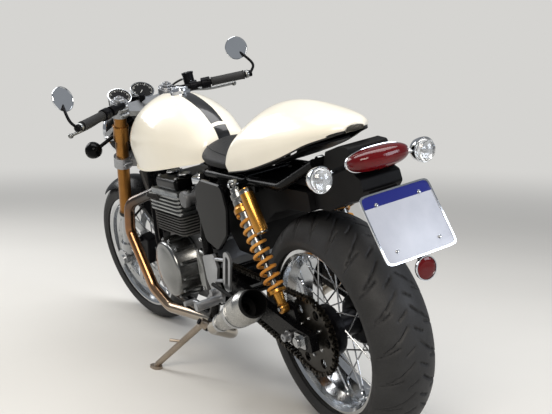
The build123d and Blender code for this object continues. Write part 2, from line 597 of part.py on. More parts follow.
def dome(centre, base_y, outer_y, radius, crown):
    """A round engine cover: a flange, a drafted wall, a rolled edge and a shallow domed face."""
    side = 1 if outer_y > base_y else -1
    depth = abs(outer_y - base_y)
    wall_end, face_edge = (depth - crown, radius - 4), (depth - crown + 10, radius - 15)
    rise = depth - face_edge[0]
    arc_radius = (face_edge[1] ** 2 + rise ** 2) / (2 * rise)
    half_way = (depth - arc_radius + math.sqrt(arc_radius ** 2 - (face_edge[1] / 2) ** 2), face_edge[1] / 2)
    at = lambda y, r: (side * y, r)
    lines = [Polyline(at(0, 0), at(0, radius + 7), at(7, radius + 7), at(9, radius), at(*wall_end)),
             ThreePointArc(at(*wall_end), at(depth - crown + 7, radius - 7), at(*face_edge)),
             ThreePointArc(at(*face_edge), at(*half_way), at(depth, 0)), Line(at(depth, 0), at(0, 0))]
    face = Plane.YZ * make_face(lines)
    return Pos(centre[0], base_y, centre[1]) * revolve(face, axis=Axis.Y)


GENERATOR_FACE_Y, GENERATOR_RADIUS = 195.0, 100.0
CLUTCH_X, CLUTCH_Z, CLUTCH_RADIUS = 690.0, 381.0, 94.0


def engine_covers():
    """Generator and sprocket covers on the left, clutch cover and water pump on the right."""
    generator = dome((CRANK_X, CRANK_Z), CASE_HALF + CLEAR, GENERATOR_FACE_Y, GENERATOR_RADIUS, 26)
    bosses = []
    for i in range(12):
        a = math.radians(30 * i + 12)
        x, z = CRANK_X + (GENERATOR_RADIUS + 1) * math.cos(a), CRANK_Z + (GENERATOR_RADIUS + 1) * math.sin(a)
        bosses.append(rod((x, CASE_HALF + CLEAR, z), (x, GENERATOR_FACE_Y - 34, z), 6.5))
    left = generator.fuse(*bosses)
    cover_y = CHAIN_Y + 18
    plate = slab([(544, 356), (544, 440), (562, 466), (610, 468), (622, 448), (626, 350), (600, 330), (560, 334)],
                 cover_y, cover_y + 14, 12)
    legs = [rod((x, CASE_HALF + CLEAR, z), (x, cover_y + 4, z), 7) for x, z in ((600, 463), (606, 336))]
    sprocket_cover = plate.fuse(*legs)
    clutch = dome((CLUTCH_X, CLUTCH_Z), -CASE_HALF - CLEAR, -158, CLUTCH_RADIUS, 24)
    right_bosses = []
    for i in range(9):
        a = math.radians(40 * i + 8)
        x, z = CLUTCH_X + (CLUTCH_RADIUS + 2) * math.cos(a), CLUTCH_Z + (CLUTCH_RADIUS + 2) * math.sin(a)
        right_bosses.append(rod((x, -CASE_HALF - CLEAR, z), (x, -CASE_HALF - 15, z), 6.5))
    points_cover = dome((CRANK_X + 50, CRANK_Z + 4), -CASE_HALF - CLEAR, -136, 52, 18)
    right = clutch.fuse(points_cover, *right_bosses)
    return Part() + [left, sprocket_cover, right]


def throttle_body():
    """One intake body dressed as a round-topped carburettor, with its rubber to the head."""
    y = THROTTLE_Y
    intake_x = BARREL_X0 - INTAKE_STUB - CLEAR
    z = INTAKE_Z
    barrel = rod((intake_x - 78, y, z), (intake_x, y, z), 27)
    clamp = rod((intake_x - 12, y, z), (intake_x - 2, y, z), 31)
    neck = rod((intake_x - 40, y, z + 2), (intake_x - 40, y, z + 56), 20)
    bell = rod((intake_x - 40, y, z + 48), (intake_x - 40, y, z + 70), 27, 23)
    bowl = block((intake_x - 64, y - 24, z - 44), (intake_x - 20, y + 26, z - 14), 6)
    side = rod((intake_x - 40, y, z + 8), (intake_x - 40, 142, z + 8), 16)
    disc = rod((intake_x - 40, 136, z + 8), (intake_x - 40, 150, z + 8), 27, 25)
    return barrel.fuse(clamp, neck, bell, bowl, side, disc)


def radiator():
    """Slim radiator between the down tubes, with side tanks and a ribbed core."""
    centre = Vector(1113.9, 0, 568.4)
    normal = Vector(0.902, 0, -0.434).normalized()
    plane = Plane(origin=centre, x_dir=(0, 1, 0), z_dir=normal)
    core = plane.location * Box(120, 210, 22)
    tanks = [plane.location * (Pos(s * 64, 0, 0) * Box(16, 218, 30)) for s in (1, -1)]
    ribs = [plane.location * (Pos(0, -98 + 10.9 * i, 12) * Box(118, 2.4, 6)) for i in range(19)]
    bars = [plane.location * (Pos(0, s * 104, 0) * Box(136, 10, 26)) for s in (1, -1)]
    return core.fuse(*tanks, *ribs, *bars)


# Exhaust

PORT_X = BARREL_X1 + 18 + CLEAR
HEADER_RADIUS = 19.5
SILENCER_Y = 206.0
SILENCER_IN, SILENCER_OUT = Vector(362, SILENCER_Y, 300), Vector(108, SILENCER_Y, 422)


def header():
    """One exhaust pipe: out of the head, forward, down beside the cradle and back."""
    run = (SILENCER_OUT - SILENCER_IN).normalized()
    port = (PORT_X, THROTTLE_Y, PORT_Z)
    path = [port, (PORT_X + 60, THROTTLE_Y, PORT_Z), (1108, 158, 566), (1128, 168, 462), (1010, 164, 262), (922, 150, 204),
            (640, 94, 200), (480, 118, 206), tuple(SILENCER_IN - run * 78), tuple(SILENCER_IN + run * 6)]
    pipe = tube(path, HEADER_RADIUS, [30, 55, 50, 80, 70, 60, 60, 30])
    collar = rod(port, (PORT_X + 10, THROTTLE_Y, PORT_Z), 30)
    return pipe.fuse(collar)


def silencer():
    """Short megaphone with a reversed end cone and an open tail."""
    run = SILENCER_OUT - SILENCER_IN
    length = run.length
    profile = [(0, HEADER_RADIUS + CLEAR), (0, 25), (30, 26), (176, 46), (232, 48), (length - 6, 40), (length, 39),
               (length, 35), (length - 80, 35), (length - 82, 24), (length - 84, 0), (24, 0), (24, HEADER_RADIUS + CLEAR)]
    plane = Plane(origin=SILENCER_IN, x_dir=(0, 1, 0), z_dir=run)
    face = Plane.XZ * make_face(Polyline(*[(r, s) for s, r in profile], close=True))
    body = plane.location * revolve(face, axis=Axis.Z)
    mid = SILENCER_IN + run.normalized() * 150
    bracket = rod(mid + Vector(0, -20, 20), (452, 169, 392), 6)
    return body.fuse(bracket)


# Bodywork: x, half width low, middle and at the shoulder, and heights low, middle, shoulder and top

TANK_SECTIONS = [
    (534, 60, 64, 48, 758, 780, 798, 804),
    (546, 80, 84, 60, 750, 786, 816, 830),
    (570, 92, 97, 68, 744, 790, 832, 856),
    (640, 112, 118, 80, 736, 806, 872, 902),
    (760, 134, 141, 92, 720, 818, 902, 942),
    (880, 142, 149, 100, 706, 818, 908, 951),
    (980, 134, 143, 98, 702, 808, 892, 936),
    (1040, 118, 128, 88, 706, 800, 868, 904),
    (1078, 92, 104, 72, 718, 792, 846, 872),
    (1098, 56, 64, 46, 742, 788, 822, 838),
]
TANK_TUNNEL_HALF, TANK_TUNNEL_TOP = 36.0, 823.0
CAP_X, CAP_Z, CAP_RADIUS = 815.0, 946.0, 34.0


def fuel_tank():
    """The tank with the tunnel over the backbone and the well of its filler."""
    shell = skinned(TANK_SECTIONS)
    tunnel = block((440, -TANK_TUNNEL_HALF, 600), (1140, TANK_TUNNEL_HALF, TANK_TUNNEL_TOP))
    well = rod((CAP_X, 0, CAP_Z - 4 - CLEAR), (CAP_X, 0, CAP_Z + 40), CAP_RADIUS + CLEAR)
    return Part() + (shell - tunnel - well)


def filler_neck():
    """Chromed ring on the tank with the hinge ears of the flip-up cap."""
    ring = rod((CAP_X, 0, CAP_Z - 4), (CAP_X, 0, CAP_Z + 8), CAP_RADIUS)
    ring -= rod((CAP_X, 0, CAP_Z - 30), (CAP_X, 0, CAP_Z + 30), 22)
    ears = [block((CAP_X + 30, s * 9 - 3, CAP_Z + 5), (CAP_X + 46, s * 9 + 3, CAP_Z + 20), 1.2) for s in (1, -1)]
    pin = rod((CAP_X + 40, -12, CAP_Z + 14), (CAP_X + 40, 12, CAP_Z + 14), 2.5)
    return ring.fuse(*ears, pin)


def filler_cap():
    """The flip-up lid with its lever."""
    lid = rod((CAP_X, 0, CAP_Z + 8 + CLEAR), (CAP_X, 0, CAP_Z + 17), 29, 27)
    knuckle = rod((CAP_X + 40, -5.5, CAP_Z + 14), (CAP_X + 40, 5.5, CAP_Z + 14), 6)
    strap = block((CAP_X + 20, -5.5, CAP_Z + 9), (CAP_X + 41, 5.5, CAP_Z + 19), 1)
    lever = block((CAP_X - 44, -6, CAP_Z + 14), (CAP_X + 6, 6, CAP_Z + 21), 2)
    solid = lid.fuse(knuckle, strap, lever)
    return solid - rod((CAP_X + 40, -20, CAP_Z + 14), (CAP_X + 40, 20, CAP_Z + 14), 2.5 + CLEAR)


SEAT_SECTIONS = [
    (531, 72, 76, 54, 754, 774, 796, 806),
    (520, 88, 93, 64, 754, 776, 801, 813),
    (490, 100, 106, 74, 754, 777, 803, 817),
    (440, 111, 118, 82, 754, 776, 798, 812),
    (380, 116, 122, 86, 754, 774, 792, 804),
    (310, 115, 121, 88, 754, 771, 788, 798),
]

COWL_SECTIONS = [
    (306, 116, 121, 98, 745, 774, 792, 800),
    (292, 117, 123, 98, 747, 786, 816, 828),
    (262, 117, 125, 92, 751, 804, 848, 868),
    (190, 115, 124, 84, 761, 826, 886, 915),
    (100, 110, 119, 77, 782, 842, 903, 934),
    (0, 102, 109, 69, 810, 856, 907, 935),
    (-90, 86, 92, 58, 841, 870, 904, 922),
    (-158, 58, 64, 43, 858, 875, 894, 904),
    (-190, 26, 30, 22, 867, 874, 881, 885),
]
COWL_WALL = 4.0


def seat():
    """The single pad, running back under the cowl."""
    return skinned(SEAT_SECTIONS)


def seat_base():
    """The pan under the pad and cowl, standing on the rails by rubber feet."""
    seat_z, cowl = SEAT_SECTIONS[-1][4], [(row[0], row[4]) for row in COWL_SECTIONS if row[0] > -60]
    top = [(527, seat_z), (cowl[0][0] + 14, seat_z), (cowl[0][0] + 3, cowl[0][1])] + cowl + [(-60, 831)]
    top = [(x, z - CLEAR) for x, z in top]
    pan = slab(top + [(x, z - 5) for x, z in reversed(top)], -70, 70)
    feet = []
    for side in (1, -1):
        for x, z in ((470, 752), (330, 752)):
            feet.append(block((x - 14, *sorted((side * 60, side * 100))[:1], z - 6), (x + 14, *sorted((side * 60, side * 100))[1:], z - 1)))
            feet.append(rod((x, side * 96, z - 3), (x, side * 96, SEAT_RAIL_Z + 13 + CLEAR), 9))
    return pan.fuse(*feet)


def seat_cowl():
    """The racing hump that closes the rear of the seat."""
    shell = skinned(COWL_SECTIONS)
    inside = skinned([(x + 6, lo - COWL_WALL, mid - COWL_WALL, top - COWL_WALL, zl - 8, zm, zs - COWL_WALL, zt - COWL_WALL)
                      for x, lo, mid, top, zl, zm, zs, zt in COWL_SECTIONS[1:-1]])
    return Part() + (shell - inside)


def electrics_box():
    """Closed black tray and inner mudguard between the seat rails."""
    outline = [(-45, 712.6), (-45, 660), (60, 656), (150, 634), (225, 592), (285, 532), (336, 478), (420, 480),
               (484, 560), (484, 712.6)]
    return slab(outline, -74, 74, 8)


def rear_mudguard():
    """Tail carrier under the cowl that holds the lamp and the number plate."""
    outline = [(40, 752), (-108, 770), (-134, 822), (-198, 840), (-236, 836), (-248, 772), (-268, 764), (-274, 736),
               (-252, 712), (-200, 700), (-112, 668), (-52, 668), (-50, 724), (40, 724)]
    body = slab(outline, -58, 58, 9)
    return body.fuse(rod((0, -69.5, 749), (0, 69.5, 749), 8))


PLATE_CENTRE = Vector(-352, 0, 660)
PLATE_TILT = 28.9
plate_normal = Vector(-math.cos(math.radians(PLATE_TILT)), 0, math.sin(math.radians(PLATE_TILT)))
plate_up = Vector(math.sin(math.radians(PLATE_TILT)), 0, math.cos(math.radians(PLATE_TILT)))
PLATE_WIDTH, PLATE_HEIGHT, PLATE_THICK = 200.0, 170.0, 2.0
REFLECTOR_RADIUS, REFLECTOR_BACK_X, REFLECTOR_Z = 28.0, -382.5, 554.0
LUG_RADIUS = 5.0


def plate_plane(up=0.0, out=0.0, side=0.0):
    """A plane on the number plate's outer face, shifted up the plate, out of it or sideways."""
    return Plane(origin=PLATE_CENTRE + plate_up * up + plate_normal * out + Vector(0, side, 0),
                 x_dir=(0, -1, 0), z_dir=plate_normal)


def number_plate():
    """A blank plate on its tilted holder."""
    outline = fillet(Rectangle(PLATE_WIDTH, PLATE_HEIGHT).vertices(), 8)
    return extrude(plate_plane(out=-PLATE_THICK) * outline, amount=PLATE_THICK)


def plate_holder():
    """Backing plate, arm and lamp hood behind the number plate."""
    backing = extrude(plate_plane(out=-PLATE_THICK - CLEAR - 4) *
                      fillet(Rectangle(PLATE_WIDTH - 30, PLATE_HEIGHT - 24).vertices(), 8), amount=4)
    arm = loft([plate_plane(up=30, out=-PLATE_THICK - CLEAR - 3) * Rectangle(70, 60),
                Plane(origin=(-275.0, 0, 722), x_dir=(0, -1, 0), z_dir=plate_normal) * Rectangle(80, 20)])
    lug = rod(PLATE_CENTRE - plate_up * 60 - plate_normal * 11,
              (REFLECTOR_BACK_X + LUG_RADIUS + CLEAR, 0, REFLECTOR_Z), LUG_RADIUS)
    return backing.fuse(arm, lug)


def rear_reflector():
    """Round red reflector under the plate, in its bezel."""
    return rod((REFLECTOR_BACK_X, 0, REFLECTOR_Z), (REFLECTOR_BACK_X - 15, 0, REFLECTOR_Z), REFLECTOR_RADIUS - 4,
               REFLECTOR_RADIUS)


TAIL_LAMP_X, TAIL_LAMP_Z = -247.4, 803.0


def tail_light():
    """Wide rounded lamp: a lens bowed round a shallow base."""
    rows = [(0, 84, 26), (-28, 88, 29), (-52, 78, 23), (-64, 52, 12)]
    wires = []
    for dx, half_w, half_h in rows:
        plane = Plane(origin=(TAIL_LAMP_X + dx, 0, TAIL_LAMP_Z - 0.12 * dx), x_dir=(0, -1, 0), z_dir=(-1, 0, 0))
        wires.append(plane * SlotOverall(2 * half_w, 2 * half_h))
    return loft(wires)


def indicator(centre, facing, stalk_end):
    """Bullet turn signal on its stalk."""
    centre, facing = Vector(*centre), Vector(*facing).normalized()
    body = rod(centre - facing * 34, centre - facing * 4, 14, 31)
    rim_ring = rod(centre - facing * 4, centre + facing * 4, 32)
    lens = rod(centre + facing * 4, centre + facing * 12, 30, 22)
    stalk = rod(centre - facing * 14, stalk_end, 7)
    return body.fuse(rim_ring, lens, stalk)


PANEL_Y = 138.0


def side_panel():
    """Rounded panel over the airbox."""
    outline = [(312, 712), (452, 718), (502, 690), (512, 606), (490, 520), (412, 498), (330, 560), (302, 640)]
    skin = slab(outline, PANEL_Y, PANEL_Y + 10, 26)
    skin = chamfer(skin.faces().sort_by(Axis.Y)[-1].edges(), 4)
    bosses = []
    for z in (620.0, 670.0):
        share = (z - 520) / (SEAT_RAIL_Z - 520)
        tube_at = Vector(FRAME_BACK_X + 14 - 14 * share, 134 - 32 * share, z)
        start = Vector(494, PANEL_Y + 4, z)
        bosses.append(rod(start, tube_at + (start - tube_at).normalized() * (TUBE_RADIUS + CLEAR + 0.5), 7))
    return skin.fuse(*bosses)


def rearset():
    """Footrest hanger, heel guard, folding peg and the foot lever."""
    y = ARM_OUTER + 11 + CLEAR
    hanger = slab([(424, 492), (508, 472), (506, 396), (470, 340), (424, 330), (412, 356), (434, 404), (412, 448)], y, y + 9, 9)
    plane = Plane(origin=(0, y + 9, 0), x_dir=(1, 0, 0), z_dir=(0, -1, 0))
    loop = Pos(350, 448) * Rot(0, 0, 112) * (SlotOverall(138, 44) - SlotOverall(108, 17))
    guard = extrude(plane * loop, amount=7, dir=(0, -1, 0))
    tie = rod((386, y + 5, 414), (440, y + 5, 402), 6)
    upper_tie = rod((356, y + 5, 484), (436, y + 5, 474), 5)
    peg = rod((434, y + 4, 346), (434, y + 92, 346), 10, 13)
    pad = rod((434, y + 22, 346), (434, y + 88, 346), 14.5)
    lever = tube([(468, y + 16, 362), (540, y + 20, 306), (628, y + 22, 300)], 6, 30)
    lever_boss = rod((468, y + 4, 362), (468, y + 22, 362), 10)
    toe = rod((624, y + 14, 300), (624, y + 54, 300), 8.5)
    return hanger.fuse(guard, tie, upper_tie, peg, pad, lever, lever_boss, toe)


def rear_caliper():
    """Small caliper under the right arm, over the rear disc."""
    x, z = 86.0, 262.0
    body = block((x - 42, -REAR_DISC_Y - DISC_THICK - 20, z - 26), (x + 40, -REAR_DISC_Y + 4, z + 24), 7)
    slot = rod((0, -REAR_DISC_Y - DISC_THICK - 2, REAR_RADIUS), (0, -REAR_DISC_Y + 2, REAR_RADIUS), REAR_DISC_R + 4)
    arm = slab([(60, 282), (110, 282), (140, 318), (96, 330)], -ARM_INNER + CLEAR, -REAR_DISC_Y - DISC_THICK - 6, 5)
    return (body - slot).fuse(arm)


# Fork and controls

def along(point, distance):
    return point + STEER_UP * distance


def yoke(height, thick, clamp_radius):
    """A fork yoke: a waisted plate with a split clamp round each fork tube."""
    centre = on_steering_axis(height)
    plane = Plane(origin=centre, x_dir=(0, -1, 0), z_dir=STEER_UP)
    outline = Polygon((-FORK_SPREAD, FORK_OFFSET + 24), (FORK_SPREAD, FORK_OFFSET + 24), (FORK_SPREAD, FORK_OFFSET - 20),
                      (34, -34), (-34, -34), (-FORK_SPREAD, FORK_OFFSET - 20), align=None)
    made = extrude(plane * fillet(outline.vertices(), 12), amount=thick, dir=STEER_UP)
    for side in (1, -1):
        base = on_fork(height, side)
        made = made.fuse(rod(along(base, -5), along(base, thick + 5), clamp_radius))
        pinch = base - STEER_FWD * (clamp_radius + 2)
        made = made.fuse(rod(along(pinch, thick / 2) - Vector(0, 15, 0), along(pinch, thick / 2) + Vector(0, 15, 0), 8))
    return made


def fork_holes(shape, height):
    for side in (1, -1):
        base = on_fork(height, side)
        shape -= rod(along(base, -80), along(base, 120), FORK_TUBE_RADIUS + CLEAR)
    return shape


def top_yoke():
    made = yoke(TOP_YOKE_Z, YOKE_THICK - 6, FORK_TUBE_RADIUS + 9)
    centre = on_steering_axis(TOP_YOKE_Z)
    made = made - rod(along(centre, -30), along(centre, 60), STEM_RADIUS + CLEAR)
    return fork_holes(made, TOP_YOKE_Z)


def bottom_yoke():
    """Lower yoke with the steering stem and its top nut."""
    made = fork_holes(yoke(LOW_YOKE_Z - 22, YOKE_THICK + 6, FORK_TUBE_RADIUS + 10), LOW_YOKE_Z)
    low, top = on_steering_axis(LOW_YOKE_Z), on_steering_axis(TOP_YOKE_Z)
    stem = rod(along(low, -10), along(top, 34), STEM_RADIUS)
    nut_plane = Plane(origin=along(top, YOKE_THICK - 6 + CLEAR), z_dir=STEER_UP)
    nut = extrude(nut_plane * RegularPolygon(22, 6), amount=13)
    return made.fuse(stem, nut)


def fork_tube(side):
    """Anodised outer tube with its cap and dust seal."""
    top, low = on_fork(FORK_TOP_Z, side), on_fork(FORK_TUBE_LOW_Z, side)
    body = rod(low, top, FORK_TUBE_RADIUS)
    seal = rod(along(low, -12), along(low, 6), FORK_TUBE_RADIUS + 2)
    cap = extrude(Plane(origin=top, z_dir=STEER_UP) * RegularPolygon(17, 6), amount=9)
    adjuster = rod(along(top, 5), along(top, 15), 8)
    return body.fuse(seal, cap, adjuster) - rod(along(low, -30), along(low, 60), FORK_SLIDER_RADIUS + CLEAR)


def fork_slider(side):
    """Chromed slider with the foot that clamps the axle and carries the caliper."""
    low, axle = on_fork(FORK_TUBE_LOW_Z, side), axle_end(side)
    leg = rod(along(axle, 40), along(low, 58), FORK_SLIDER_RADIUS)
    foot = rod(along(axle, -30), along(axle, 64), 25, 27)
    clamp = rod(axle - Vector(0, FOOT_HALF, 0), axle + Vector(0, FOOT_HALF, 0), 30)
    lugs = [rod(along(axle, h), along(axle, h) - STEER_FWD * (CALIPER_BACK - 30.4 - CLEAR), 10) for h in CALIPER_BOLTS]
    made = leg.fuse(foot, clamp, *lugs)
    return made - rod((WHEELBASE, -200, FRONT_RADIUS), (WHEELBASE, 200, FRONT_RADIUS), AXLE_RADIUS + CLEAR)


def front_axle():
    """Spindle with the spacers that centre the wheel."""
    x, z = WHEELBASE, FRONT_RADIUS
    half = FRONT_AXLE_LENGTH / 2
    made = rod((x, -half, z), (x, half, z), AXLE_RADIUS)
    for side in (1, -1):
        made = made.fuse(rod((x, side * (FRONT_HUB_END + DISC_THICK + 5), z), (x, side * (FORK_SPREAD - FOOT_HALF - CLEAR), z), 17),
                         rod((x, side * (FORK_SPREAD + FOOT_HALF + CLEAR), z), (x, side * (FORK_SPREAD + FOOT_HALF + 6), z), 19))
    return made


CALIPER_UP, CALIPER_BACK = 84.0, 96.0
CALIPER_BOLTS = (CALIPER_UP - 38, CALIPER_UP + 42)


def caliper(side):
    """Four-piston radial caliper behind the fork leg, straddling its disc."""
    axle = Vector(WHEELBASE, 0, FRONT_RADIUS)
    disc_y = FRONT_DISC_Y + DISC_THICK / 2
    centre = axle + STEER_UP * CALIPER_UP - STEER_FWD * CALIPER_BACK + Vector(0, side * (disc_y + 10), 0)
    plane = Plane(origin=centre, x_dir=STEER_FWD, z_dir=STEER_UP)
    body = fillet((plane.location * Box(56, 46, 118)).edges(), 8)
    ears = []
    for h in CALIPER_BOLTS:
        at = axle + STEER_UP * h - STEER_FWD * (CALIPER_BACK - 20) + Vector(0, side * (FORK_SPREAD - 10), 0)
        ears.append(rod(at - Vector(0, side * 14, 0), at + Vector(0, side * 6, 0), 11))
    gap = rod((WHEELBASE, side * (disc_y - 5), FRONT_RADIUS), (WHEELBASE, side * (disc_y + 5), FRONT_RADIUS), FRONT_DISC_R + 4)
    return (body - gap).fuse(*ears)


# Places of the bars, mirrors, lamps and dials, by their distance behind the foot of the steering axis
BAR_END = Vector(STEER_FOOT.X - 527, 348, 918)
BAR_IN = Vector(STEER_FOOT.X - 397, FORK_SPREAD + 10, 926)
LEVER_END = Vector(STEER_FOOT.X - 436, 352, 886)
BAR_RADIUS, GRIP_RADIUS = 11.0, 16.5


def bar_point(share, side=1):
    p = BAR_IN + (BAR_END - BAR_IN) * share
    return Vector(p.X, side * p.Y, p.Z)


def clip_on(side):
    """Clip-on bar: a clamp round the fork tube above the yoke, the bar and its end weight."""
    top = on_fork(FORK_TOP_Z, side)
    clamp_low = along(on_fork(TOP_YOKE_Z, side), YOKE_THICK - 6 + 5 + CLEAR)
    clamp = rod(clamp_low, along(clamp_low, 24), FORK_TUBE_RADIUS + 8)
    bar = rod(bar_point(-0.02, side), bar_point(1.0, side), BAR_RADIUS)
    root = rod(along(clamp_low, 12), bar_point(0.06, side), 12, 13)
    run = (bar_point(1, side) - bar_point(0, side)).normalized()
    weight = rod(bar_point(1.0, side), bar_point(1.0, side) + run * 14, 15, 12)
    made = clamp.fuse(bar, root, weight)
    return made - rod(along(clamp_low, -20), along(clamp_low, 60), FORK_TUBE_RADIUS + CLEAR)


def grip(side):
    """Ribbed rubber grip on the bar."""
    start, end = bar_point(0.52, side), bar_point(0.985, side)
    run = (end - start).normalized()
    length = (end - start).length
    sleeve = rod(start, end, GRIP_RADIUS - 1)
    rings = [rod(start + run * (length * s), start + run * (length * s + 5), GRIP_RADIUS + 0.6) for s in (0.0, 0.48, 0.95)]
    return sleeve.fuse(*rings) - rod(start - run * 20, end + run * 20, BAR_RADIUS + CLEAR)


LEVER_AHEAD = Vector(0.86, 0, -0.25).normalized()


def master_cylinder():
    """Where the front brake's reservoir stands on the right perch."""
    return bar_point(0.27, -1) + LEVER_AHEAD * 26 + Vector(0, 0, 18)


def controls(side):
    """Perch, lever with its ball end, switch housing and, on the right, the brake reservoir."""
    run = (bar_point(1, side) - bar_point(0, side)).normalized()
    perch_at, switch_at = bar_point(0.27, side), bar_point(0.44, side)
    perch = rod(perch_at - run * 13, perch_at + run * 13, 19)
    switch = rod(switch_at - run * 17, switch_at + run * 17, 21)
    ahead = LEVER_AHEAD
    pivot = perch_at + ahead * 42
    arm = rod(perch_at + ahead * 10, pivot, 12, 10)
    knuckle = rod(pivot - Vector(0, 0, 10), pivot + Vector(0, 0, 10), 12)
    lever_mid = bar_point(0.62, side) + ahead * 74 - Vector(0, 0, 8)
    lever_end = Vector(LEVER_END.X, side * LEVER_END.Y, LEVER_END.Z)
    lever = tube([pivot, lever_mid, lever_end], 6, 60)
    ball = Pos(*lever_end) * Sphere(9.5)
    made = perch.fuse(switch, arm, knuckle, lever, ball)
    if side < 0:
        pot = master_cylinder()
        made = made.fuse(rod(pot - Vector(0, 0, 14), pot + Vector(0, 0, 34), 20),
                         rod(pot + Vector(0, 0, 33), pot + Vector(0, 0, 40), 22))
    return made - rod(perch_at - run * 60, switch_at + run * 60, BAR_RADIUS + CLEAR)


MIRROR_CENTRE = Vector(STEER_FOOT.X - 482, 366, 1016)
MIRROR_RADIUS = 43.0


def mirror_head(side):
    """Round bar-end mirror on a cranked stem."""
    centre = Vector(MIRROR_CENTRE.X, side * MIRROR_CENTRE.Y, MIRROR_CENTRE.Z)
    facing = Vector(-0.93, side * -0.30, 0.18).normalized()
    glass = rod(centre - facing * 8, centre + facing * 2, MIRROR_RADIUS - 6, MIRROR_RADIUS)
    lip = rod(centre + facing * 2, centre + facing * 5, MIRROR_RADIUS)
    run = (bar_point(1, side) - bar_point(0, side)).normalized()
    base = bar_point(1.0, side) + run * (14 + CLEAR)
    boss = rod(base, base + run * 12, 12)
    stem = tube([base + run * 6, base + run * 14 + Vector(6, side * 14, 34), centre - facing * 6], 5, 18)
    return glass.fuse(lip, boss, stem)


HEADLIGHT = Vector(STEER_FOOT.X - 185, 0, 802)
HEADLIGHT_RADIUS = 92.0


def headlight():
    """Round headlight shell with its lens and the ears that bolt it to the fork tubes."""
    profile = [(-84, 0), (-80, 34), (-58, 66), (-20, 86), (20, HEADLIGHT_RADIUS), (30, HEADLIGHT_RADIUS + 4),
               (42, HEADLIGHT_RADIUS + 2), (46, HEADLIGHT_RADIUS - 6), (58, 60), (64, 0)]
    face = Plane.XZ * make_face(Polyline(*[(x, r) for x, r in profile], close=True))
    shell = Pos(*HEADLIGHT) * revolve(face, axis=Axis.X)
    made = [shell]
    for side in (1, -1):
        y = side * (HEADLIGHT_RADIUS - 6)
        clamp_at = on_fork(HEADLIGHT.Z + 12, side)
        made.append(rod((HEADLIGHT.X - 10, y, HEADLIGHT.Z), (HEADLIGHT.X - 10, side * (HEADLIGHT_RADIUS + 14), HEADLIGHT.Z), 10))
        ear = slab([(HEADLIGHT.X + 6, HEADLIGHT.Z - 14), (HEADLIGHT.X + 6, HEADLIGHT.Z + 14), (clamp_at.X + 20, clamp_at.Z + 30),
                    (clamp_at.X + 20, clamp_at.Z - 34)], *sorted((side * (HEADLIGHT_RADIUS + 8), side * (HEADLIGHT_RADIUS + 14))), 4)
        low, high = sorted((side * (HEADLIGHT_RADIUS + 4), side * (HEADLIGHT_RADIUS + 18)))
        window = slab([(HEADLIGHT.X - 24, HEADLIGHT.Z), (clamp_at.X + 34, clamp_at.Z + 14), (clamp_at.X + 34, clamp_at.Z - 20)],
                      low, high, 3)
        made.append(ear - window)
        ring = rod(along(clamp_at, -34), along(clamp_at, 26), FORK_TUBE_RADIUS + 5)
        ring -= rod(along(clamp_at, -60), along(clamp_at, 60), FORK_TUBE_RADIUS + CLEAR)
        made.append(ring)
    solid = made[0].fuse(*made[1:])
    for side in (1, -1):
        base = on_fork(HEADLIGHT.Z, side)
        solid -= rod(along(base, -120), along(base, 120), FORK_TUBE_RADIUS + CLEAR)
    return solid


DIALS = Vector(STEER_FOOT.X - 273, 50, 946)
SIGNAL = Vector(STEER_FOOT.X - 211, 182, 776)


def instruments():
    """Two round dials on a bracket bolted to the top yoke."""
    centre = on_steering_axis(TOP_YOKE_Z)
    facing = Vector(-0.62, 0, 0.78).normalized()
    made = []
    for side in (1, -1):
        c = Vector(DIALS.X, side * DIALS.Y, DIALS.Z)
        made.append(rod(c - facing * 46, c - facing * 6, 36, 43))
        made.append(rod(c - facing * 6, c, 45))
    bridge = rod((DIALS.X + 2, -DIALS.Y, DIALS.Z - 24), (DIALS.X + 2, DIALS.Y, DIALS.Z - 24), 10)
    seat_at = along(centre, YOKE_THICK - 6 + CLEAR) + STEER_FWD * 40
    foot = rod(seat_at, seat_at + STEER_UP * 28, 12)
    arm = rod(seat_at + STEER_UP * 20, (DIALS.X + 2, 0, DIALS.Z - 21), 7)
    return bridge.fuse(foot, arm, *made)


MUDGUARD_GAP, MUDGUARD_WALL = 12.0, 3.5
MUDGUARD_ARC, MUDGUARD_REACH = 94.0, 66.0


def front_mudguard():
    """Short guard over the front tyre, with stays to the fork feet."""
    inner = FRONT_RADIUS + MUDGUARD_GAP
    half = FRONT_HALF + 7
    drop = 34.0
    profile = make_face([
        ThreePointArc((-half, inner - drop), (0, inner), (half, inner - drop)),
        Line((half, inner - drop), (half + MUDGUARD_WALL, inner - drop)),
        ThreePointArc((half + MUDGUARD_WALL, inner - drop), (0, inner + MUDGUARD_WALL), (-half - MUDGUARD_WALL, inner - drop)),
        Line((-half - MUDGUARD_WALL, inner - drop), (-half, inner - drop)),
    ])
    shell = revolve(Plane.YZ * profile, axis=Axis.Y, revolution_arc=MUDGUARD_ARC)
    shell = Pos(*FRONT_AXLE) * (Rot(0, -MUDGUARD_REACH, 0) * shell)
    stays = []
    for side in (1, -1):
        y = side * (half + MUDGUARD_WALL)
        for angle in (98, 128):
            a = math.radians(angle)
            high = Vector(WHEELBASE + (inner - drop + 8) * math.cos(a), side * (half - 2), FRONT_RADIUS + (inner - drop + 8) * math.sin(a))
            foot = on_fork(FRONT_RADIUS + 148, side) - Vector(0, side * (FORK_SLIDER_RADIUS + 4.5 + CLEAR), 0)
            stays.append(rod(high, foot, 4.5))
    return shell.fuse(*stays)


def brake_hose():
    """The front brake line, from the master cylinder round the right fork leg to the lower yoke."""
    yoke_front = FORK_OFFSET + 24 + 4 + CLEAR
    start = master_cylinder() + Vector(20 + CLEAR, 0, 17)
    route = [start, fork_point(45, -172, 1012), fork_point(84, -135, 962), fork_point(82, -88, 900),
             fork_point(yoke_front, -62, LOW_YOKE_Z / math.cos(rake))]
    return tube(route, 4, [40, 50, 80])


